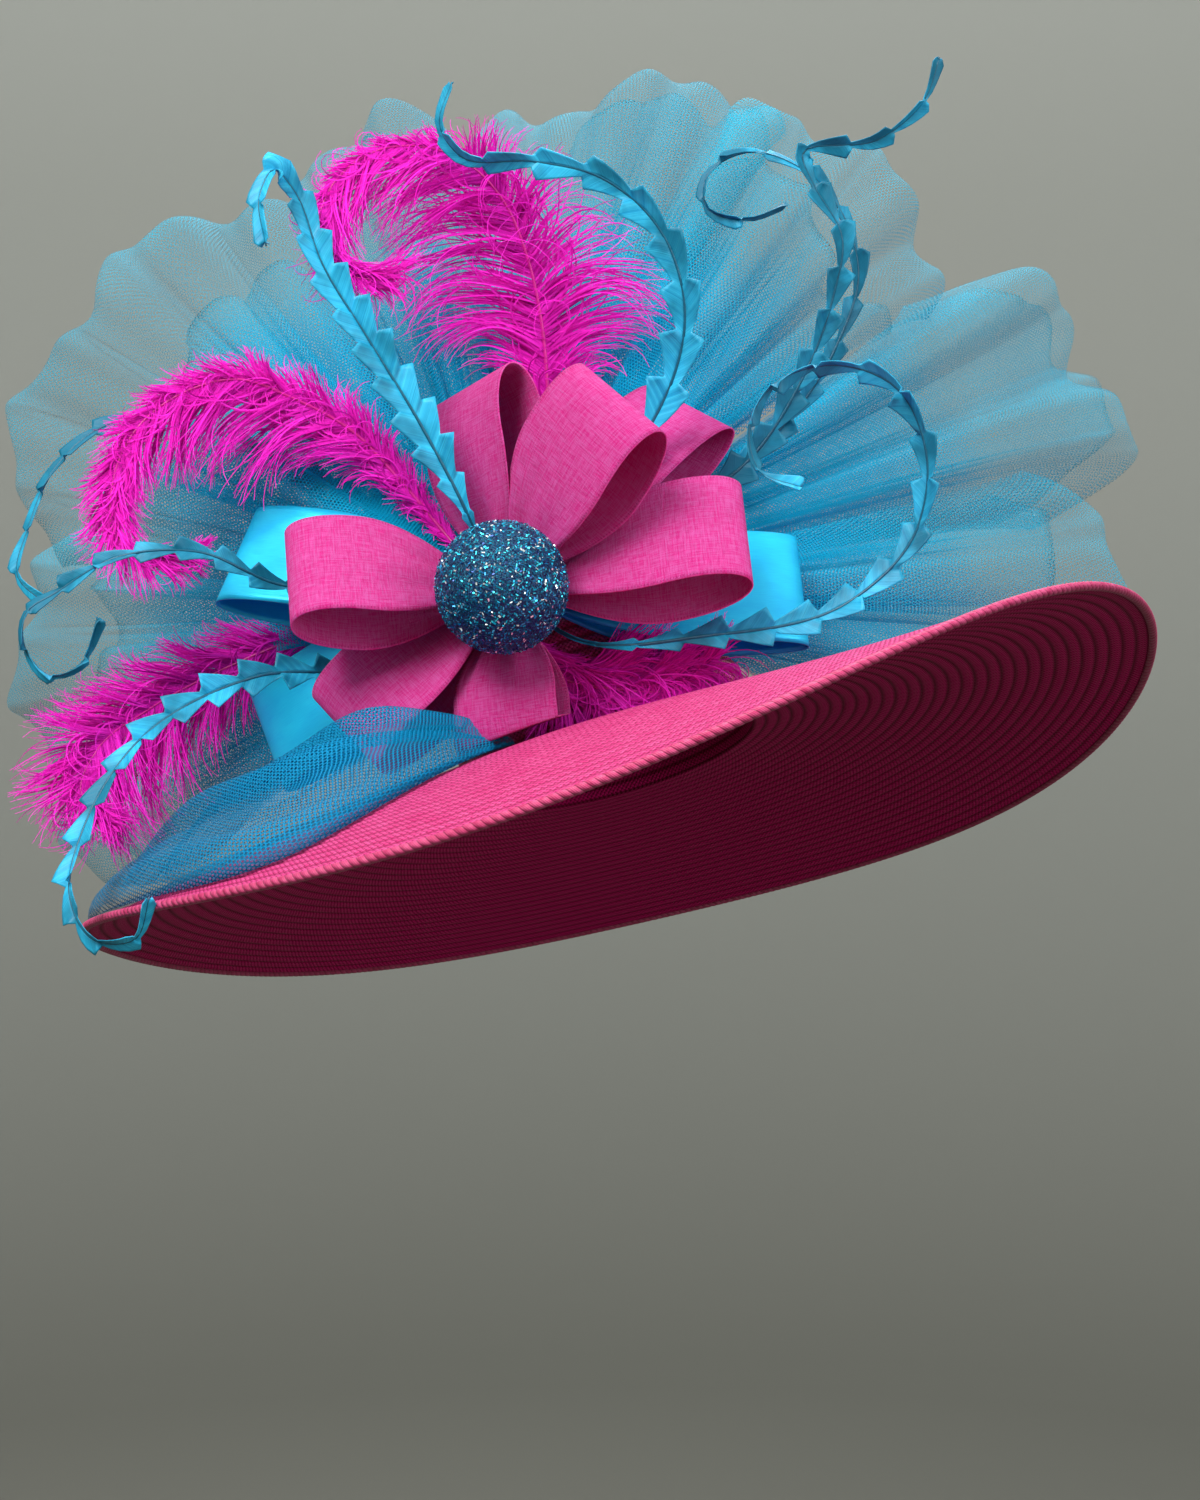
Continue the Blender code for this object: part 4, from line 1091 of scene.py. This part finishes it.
def plume_material():
    """Dyed ostrich: each barb has its own tint, and it is deeper at the quill. The uv holds the tint and
    the way along the barb."""
    material, tree, shader, where = new_material("magenta_ostrich", Roughness=0.70, Specular_IOR_Level=0.12)
    own, way, _ = components(tree, where.outputs["UV"])
    cloud = noise(tree, where.outputs["Object"], 40.0, 2.0)
    level = calc(tree, "MULTIPLY_ADD", own, 0.6, calc(tree, "MULTIPLY", cloud, 0.4))
    colour = tint(tree, spread(tree, level, 0.15, 0.85), PLUME_MAGENTA, PLUME_LIGHT)
    colour = tint(tree, spread(tree, own, 0.0, 0.22, 0.7, 0.0), colour, PLUME_DEEP)
    paint(tree, shader, tint(tree, spread(tree, way, 0.0, 0.25, 0.35, 0.0), colour, PLUME_DEEP))
    return material


def add_strips(name, path, sideways, width, tints, material, replaced=None):
    """Flat hairs: a stack of strips along paths, with a width for each point and a tint for each strip."""
    half = sideways * (width / 2)[..., None]
    points = clear_of_straw(from_hub(np.stack([path - half, path + half], axis=-2)), CLEARANCE)
    way = np.linspace(0, 1, path.shape[-2])[:, None] + np.zeros(2)
    uv = grid_places(tints[:, None, None], way)
    dress(add_grid(name, points, uv), material, replaced)


def add_plume(number, plume, hair, horn):
    """A quill, its barbs and their down.

    A barb starts slanted to the tip, a short one more so. Its heading bows away from the tip by a power of
    the way along it, it leans out of the plume's plane, and it sinks by the square of the way. Barbs of one
    lock share their turn and lean, from sines of the place along the quill, and part from one another at
    their ends.
    """
    chance = np.random.default_rng(100 + number)
    places = np.sort(chance.uniform(0.02, 1.0, BARBS))
    side = np.where(np.arange(BARBS) % 2 == 0, 1.0, -1.0)
    path, along, across, front, length = quill_frame(plume.rows, places)
    across = across * side[:, None]
    share = np.where(side > 0, np.interp(places, BARB_PLACES, plume.left),
                     np.interp(places, BARB_PLACES, plume.right))
    reach = (share * PLUME_BARB + 0.003) * chance.uniform(0.72, 1.06, BARBS)
    wave = 2 * math.pi * places * length / LOCK + side * 2 * number
    lock = 0.5 * np.sin(wave) + 0.3 * np.sin(2.3 * wave + 1.0) + 0.2 * np.sin(4.1 * wave + 2.0)
    slant = np.radians(76 - 46 * share) + 0.08 * lock + chance.normal(0, 0.05, BARBS)
    curl = -0.90 * share + 0.35 * lock + chance.normal(0, 0.10, BARBS)
    loose = chance.uniform(0, 1, BARBS) < 0.20
    curl += np.where(loose, chance.uniform(1.0, 5.5, BARBS), 0.0)
    reach = reach * np.where(loose, 1.12, 1.0)
    lean = 0.06 + 0.16 * np.sin(1.7 * wave + 0.6) + chance.normal(0, 0.09, BARBS)
    lean_more = -0.15 + 0.30 * np.sin(0.9 * wave + 2.0) + chance.normal(0, 0.15, BARBS)
    parting = chance.normal(0, 0.50, (2, BARBS))
    way = (np.arange(BARB_STEPS) + 0.5) / BARB_STEPS
    snake = 0.20 * np.sin(2 * math.pi * 1.2 * way + 0.7 * wave[:, None]) * way
    heading = slant[:, None] + curl[:, None] * way ** 1.7 + parting[0][:, None] * way ** 4 + snake
    tilt = lean[:, None] + lean_more[:, None] * way + parting[1][:, None] * way ** 4
    flat = across[:, None] * np.cos(heading)[..., None] + along[:, None] * np.sin(heading)[..., None]
    steps = flat * np.cos(tilt)[..., None] + front[:, None] * np.sin(tilt)[..., None]
    hair_path = np.cumsum(steps * (reach / BARB_STEPS)[:, None, None], axis=1)
    hair_path = path[:, None] + np.concatenate([np.zeros((BARBS, 1, 3)), hair_path], axis=1)
    whole = np.linspace(0, 1, BARB_STEPS + 1)
    hair_path[..., 1] -= SAG * (reach[:, None] * whole) ** 2
    direction = unit(np.gradient(hair_path, axis=1))
    sideways = unit(np.cross(direction, front[:, None] + chance.normal(0, 0.35, (BARBS, 1, 3))))
    width = BARB_WIDTH * (1.0 - 0.80 * whole) * np.ones((BARBS, 1))
    tints = chance.uniform(0, 1, BARBS)
    add_strips(f"ostrich_{number}_barbs", hair_path, sideways, width, tints, hair, f"plume_{number}")

    weight = reach / reach.sum()
    owner = chance.choice(BARBS, DOWN, p=weight)
    step = chance.integers(0, BARB_STEPS, DOWN)
    part = chance.uniform(0, 1, DOWN)[:, None]
    start = hair_path[owner, step] * (1 - part) + hair_path[owner, step + 1] * part
    ahead, beside = direction[owner, step], sideways[owner, step]
    hand = np.where(chance.uniform(0, 1, DOWN) < 0.5, 1.0, -1.0)[:, None]
    way = unit(ahead + 0.40 * hand * beside + chance.normal(0, 0.12, (DOWN, 3)))
    bow = unit(way + 0.8 * ahead + chance.normal(0, 0.12, (DOWN, 3)))
    size = DOWN_LENGTH * chance.uniform(0.5, 1.15, DOWN) * np.minimum(1.0, reach[owner] / 0.02)
    size = (size * (1.0 - 0.75 * step / BARB_STEPS))[:, None]
    down_path = np.stack([start, start + way * size / 2, start + (way + bow) * size / 2], axis=1)
    flat = unit(np.cross(way, front[owner] + chance.normal(0, 0.6, (DOWN, 3))))[:, None]
    width = DOWN_WIDTH * np.array([1.0, 0.75, 0.25]) * np.ones((DOWN, 1))
    add_strips(f"ostrich_{number}_down", down_path, np.repeat(flat, 3, axis=1), width, tints[owner], hair)
    add_quill(f"ostrich_{number}_quill", plume.rows, PLUME_QUILL_ENDS, horn)


def add_plumes():
    """The upright plume, the two on the left, and the short one under the loops."""
    hair = plume_material()
    horn = quill_material("pink_horn", HORN_RED, HORN_PINK)
    for number, plume in enumerate(PLUMES, 1):
        add_plume(number, plume, hair, horn)


add_plumes()


# Tulle
# Lengths of stiff turquoise net are gathered on the post and fanned out behind the loops. Each is folded to
# and fro into soft puffs, one in another. The gathers open towards the edge, where the net is see-through.

NET_HOLE = 0.0020
NET_OPEN = 0.58
NET_GATHERED = 0.85
FAN_FLARE = 7.0
FAN_COLUMNS = 160
FAN_PUFF = 0.015
FAN_FOLD = 0.0050
FAN_BIAS = 0.4
TULLE_LAYER = 0.0035
VEIL_BIAS = 0.7
VEIL_SHADE = 0.75
VEIL_ROUNDS = 84
VEIL_COLUMNS = 48
NET_BLUE = (0.004, 0.36, 0.54)
NET_LIGHT = (0.012, 0.48, 0.70)
NET_PAINTED_LIGHT = (0.001, 0.50, 0.84)
NET_PAINTED_SHADE = (0.001, 0.15, 0.36)

FAN_TURNS = [
    # The share of the way out at which the net turns back, and the rows that lead up to it
    (0.0, 0),
    (1.0, 24),
    (0.04, 22),
    (0.70, 18),
    (0.0, 18),
]

Fan = namedtuple("Fan", "start end first middle last out sweep ruffle waves pleats puff")
TULLE_FANS = [
    # Bearings in degrees, shares of the spray for reach at start, middle and end, root, sweep and ruffle,
    # counts of waves and pleats, and how far the inner puff comes as a share of the reach
    Fan(118, 171, 0.530, 0.600, 0.580, -0.092, 0.200, 0.020, 2.5, 6, 0.74),
    Fan(98, 117, 0.520, 0.565, 0.520, -0.100, 0.150, 0.012, 1.5, 3, 0.95),
    Fan(64, 97, 0.700, 0.600, 0.540, -0.098, 0.240, 0.020, 2.0, 5, 1.06),
    Fan(38, 63, 0.630, 0.630, 0.660, -0.100, 0.150, 0.014, 1.5, 4, 0.90),
    Fan(12.5, 35, 0.690, 0.710, 0.650, -0.092, 0.200, 0.018, 2.0, 4, 1.15),
    Fan(-14, 11.5, 0.600, 0.660, 0.680, -0.100, 0.150, 0.012, 1.5, 3, 0.95),
    Fan(172, 217, 0.580, 0.590, 0.570, -0.115, 0.290, 0.014, 1.5, 6, 0.90),
]


def net_material():
    """Six-sided net: the sum of three cosines a third of a turn apart is high in the middle of each hole
    and low on the threads, so a limit on it cuts the holes out. The limit rises where the net is gathered,
    and a sheet seen from its edge hides more, by one over its facing."""
    material, tree, shader, where = new_material("turquoise_net", Roughness=0.6, Specular_IOR_Level=0.1)
    right, up, _ = components(tree, where.outputs["UV"])
    gather = stored(tree, "gather")
    waves = 4 * math.pi / (math.sqrt(3) * NET_HOLE)
    total = None
    for angle in (0.0, math.pi / 3, 2 * math.pi / 3):
        along = calc(tree, "MULTIPLY", right, waves * math.cos(angle))
        along = calc(tree, "MULTIPLY_ADD", up, waves * math.sin(angle), along)
        wave = calc(tree, "COSINE", along)
        total = wave if total is None else calc(tree, "ADD", total, wave)
    limit = spread(tree, gather, 0.0, 1.0, -0.84, 0.60)
    thread = calc(tree, "MULTIPLY", spread(tree, calc(tree, "SUBTRACT", limit, total), 0.0, 0.5),
                  spread(tree, gather, 0.0, 1.0, NET_OPEN, NET_GATHERED))
    edge_on = tree.nodes.new("ShaderNodeLayerWeight")
    facing = calc(tree, "MAXIMUM", calc(tree, "SUBTRACT", 1.0, edge_on.outputs["Facing"]), 0.4)
    tree.links.new(calc(tree, "MINIMUM", calc(tree, "DIVIDE", thread, facing), 1.0), shader.inputs["Alpha"])
    cloud = noise(tree, where.outputs["Object"], 14.0, 2.0)
    colour = tint(tree, spread(tree, cloud, 0.35, 0.70), NET_BLUE, NET_LIGHT)
    # Painted light: where the net is gathered it takes a brighter blue, standing in for light that passes
    # through the stacked layers.
    colour = tint(tree, spread(tree, gather, 0.0, 0.6), colour, NET_PAINTED_LIGHT)
    # Painted shade: the stored value, zero on the fans, darkens the veil towards an inky blue.
    paint(tree, shader, tint(tree, stored(tree, "dye"), colour, NET_PAINTED_SHADE))
    add_bump(tree, shader, total, 0.0003, 0.6)
    return material


def add_net(name, points, uv, bias, gather, dye, replaced, material):
    """Finish one sheet of net with its gathers and its depth of painted shade. The cells of the net are
    turned on the sheet by the bias. The leaf that lies in front comes first, so the grid's faces are turned
    to look out of the puff."""
    turned = np.array([[math.cos(bias), math.sin(bias)], [-math.sin(bias), math.cos(bias)]])
    piece = add_grid(name, points, uv @ turned)
    piece.data.flip_normals()
    store(piece, "gather", np.broadcast_to(gather, points.shape[:2]))
    store(piece, "dye", np.full(points.shape[:2], dye))
    dress(piece, material, replaced)


def add_fan(number, fan, material):
    """Net from the post out to the fan's edge, over a soft fold there, and to and fro behind itself.

    The bearing grows evenly over the fan plus a sine across it. Near the post the sine is strong enough to
    turn back on itself, which lays gathers over one another, and it dies away towards the edge. The depth
    sweeps back with the 0.7th power of the way out. Ruffles, sines that run slantwise across the fan, stand
    higher towards the edge. The leaves lie behind one another and part by a power of a half sine of the way
    out. The inner puff comes as far as the fan says, give or take a sine across it.
    """
    chance = np.random.default_rng(40 + number)
    share = np.linspace(0.0, 1.0, FAN_COLUMNS)
    places, steps = np.array(FAN_TURNS).T
    rows = np.arange(steps.sum() + 1)
    out = np.interp(rows, np.cumsum(steps), places)[:, None]
    leaf = 1 - 2 * rows[:, None] / rows[-1]
    span = fan.end - fan.start
    phase, twist, drift = chance.uniform(0, 2 * math.pi, 3)
    inner = rows[:, None] > steps[:3].sum()
    out = out * np.where(inner, fan.puff * (1 + 0.13 * np.sin(6 * share + drift)), 1.0)
    pleat = 2 * math.pi * fan.pleats * share + phase + 1.6 * leaf + 0.8 * out
    fine = 2.6 * pleat + drift - 1.5 * out
    swing = span / (2 * math.pi * fan.pleats) * (1.8 - 1.55 * out)
    bearing = (fan.start + fan.end) / 2 + (share - 0.5) * (span + FAN_FLARE * out)
    bearing = np.radians(bearing + swing * (np.sin(pleat) + 0.16 * np.sin(fine)))
    reach = (fan.first * (1 - share) * (1 - 2 * share) + fan.middle * 4 * share * (1 - share)
             + fan.last * share * (2 * share - 1)) * SPRAY * (1 - 0.12 * np.abs(2 * share - 1) ** 6)
    lobe = 1 + 0.030 * np.sin(0.45 * pleat + twist) + 0.012 * np.sin(1.1 * pleat + drift)
    post = POST_RADIUS + ROOT_GAP
    radius = post + (reach * lobe - post) * np.sin(out * math.pi / 2) ** 0.8
    fold = fan.ruffle * SPRAY * np.sin(2 * math.pi * fan.waves * share + 1.4 * out + twist) * out
    fold = fold + FAN_FOLD * (np.cos(pleat) + 0.35 * np.sin(fine)) * out ** 0.6 * (1 - 0.6 * out)
    swell = FAN_PUFF * (1 + 0.4 * np.sin(0.8 * pleat + drift)) * np.sin(math.pi * out ** 1.6) ** 0.6
    depth = fan.out * SPRAY - fan.sweep * SPRAY * out ** 0.7 + fold + (leaf - 0.6) * swell
    points = np.stack([radius * np.cos(bearing), radius * np.sin(bearing), depth], axis=-1)
    lengths = np.linalg.norm(np.diff(points, axis=1), axis=-1).sum(axis=1)
    uv = grid_places(share * lengths.max(), run_along(points)[:, None])
    points = clear_of_straw(from_hub(points), CLEARANCE + TULLE_LAYER * (1 + number % 2))
    gather = np.clip(1.0 - 2.0 * out, 0.0, 1.0)
    add_net(f"net_fan_{number}", points, uv, FAN_BIAS * number, gather, 0.0, f"tulle_{number}",
            material)


Veil = namedtuple("Veil", "turn inner outer height")
VEIL_ROWS = [
    # Turn from +X in degrees, shares of the brim's width at the puff's two sides, and its height in metres
    Veil(246, 0.14, 0.28, 0.004),
    Veil(243, 0.17, 0.54, 0.018),
    Veil(238, 0.22, 0.84, 0.029),
    Veil(231, 0.26, 0.950, 0.034),
    Veil(221, 0.32, 0.980, 0.034),
    Veil(210, 0.42, 0.990, 0.031),
    Veil(200, 0.56, 0.990, 0.026),
    Veil(192, 0.74, 0.980, 0.013),
]


def add_veil(material):
    """A long loose puff of net laid on the brim's front left, narrow at both ends.

    The lower leaf lies on the braid and the upper one arches over it by a power of a half sine. Folds run
    along the puff, as sines across it, and meet where it is gathered under the loops.
    """
    last = len(VEIL_ROWS) - 1
    way = np.linspace(0, last, VEIL_ROUNDS)
    curve = cubic_curve(np.array(VEIL_ROWS), np.arange(last + 1.0), way)
    turn, inner, outer, height = curve.T[..., None]
    there = np.linspace(0.0, 1.0, VEIL_COLUMNS)
    across = np.concatenate([there, there[-2::-1]])
    upper = np.concatenate([np.ones(VEIL_COLUMNS), np.zeros(VEIL_COLUMNS - 1)])
    along = way[:, None] / way.max()
    share = inner + (outer - inner) * (across + 0.02 * np.sin(9 * along + 6 * across))
    place = brim_point(np.radians(turn), share)
    arch = np.sin(math.pi * across ** 0.8) ** 0.55
    folds = (np.sin(2 * math.pi * 3.2 * across + 2.5 * along)
             + 0.5 * np.sin(2 * math.pi * 7 * across - 4 * along))
    lifted = height * arch * (1 + 0.17 * folds + 0.06 * np.sin(16 * along + 5 * across)) * upper
    place[..., 2] += CLEARANCE + 0.001 + lifted + (1 - upper) * 0.0015 * (1 + folds / 1.5) * arch
    wide = np.cumsum(np.linalg.norm(np.diff(place, axis=1, prepend=place[:, :1]), axis=-1), axis=1)
    middle = wide[:, VEIL_COLUMNS - 1, None]
    uv = grid_places(wide - middle, run_along(place)[:, None])
    gather = np.clip(0.40 + 0.50 * (1 - along) ** 2 - 0.20 * along + 0.14 * folds, 0.0, 1.0)
    # The veil is painted darker than the fans, as shade.
    add_net("net_veil", place, uv, VEIL_BIAS, gather, VEIL_SHADE, "tulle_8", material)


def add_tulle():
    """Seven fans round the spray, then the veil on the brim."""
    net = net_material()
    for number, fan in enumerate(TULLE_FANS, 1):
        add_fan(number, fan, net)
    add_veil(net)


add_tulle()


bpy.context.view_layer.update()
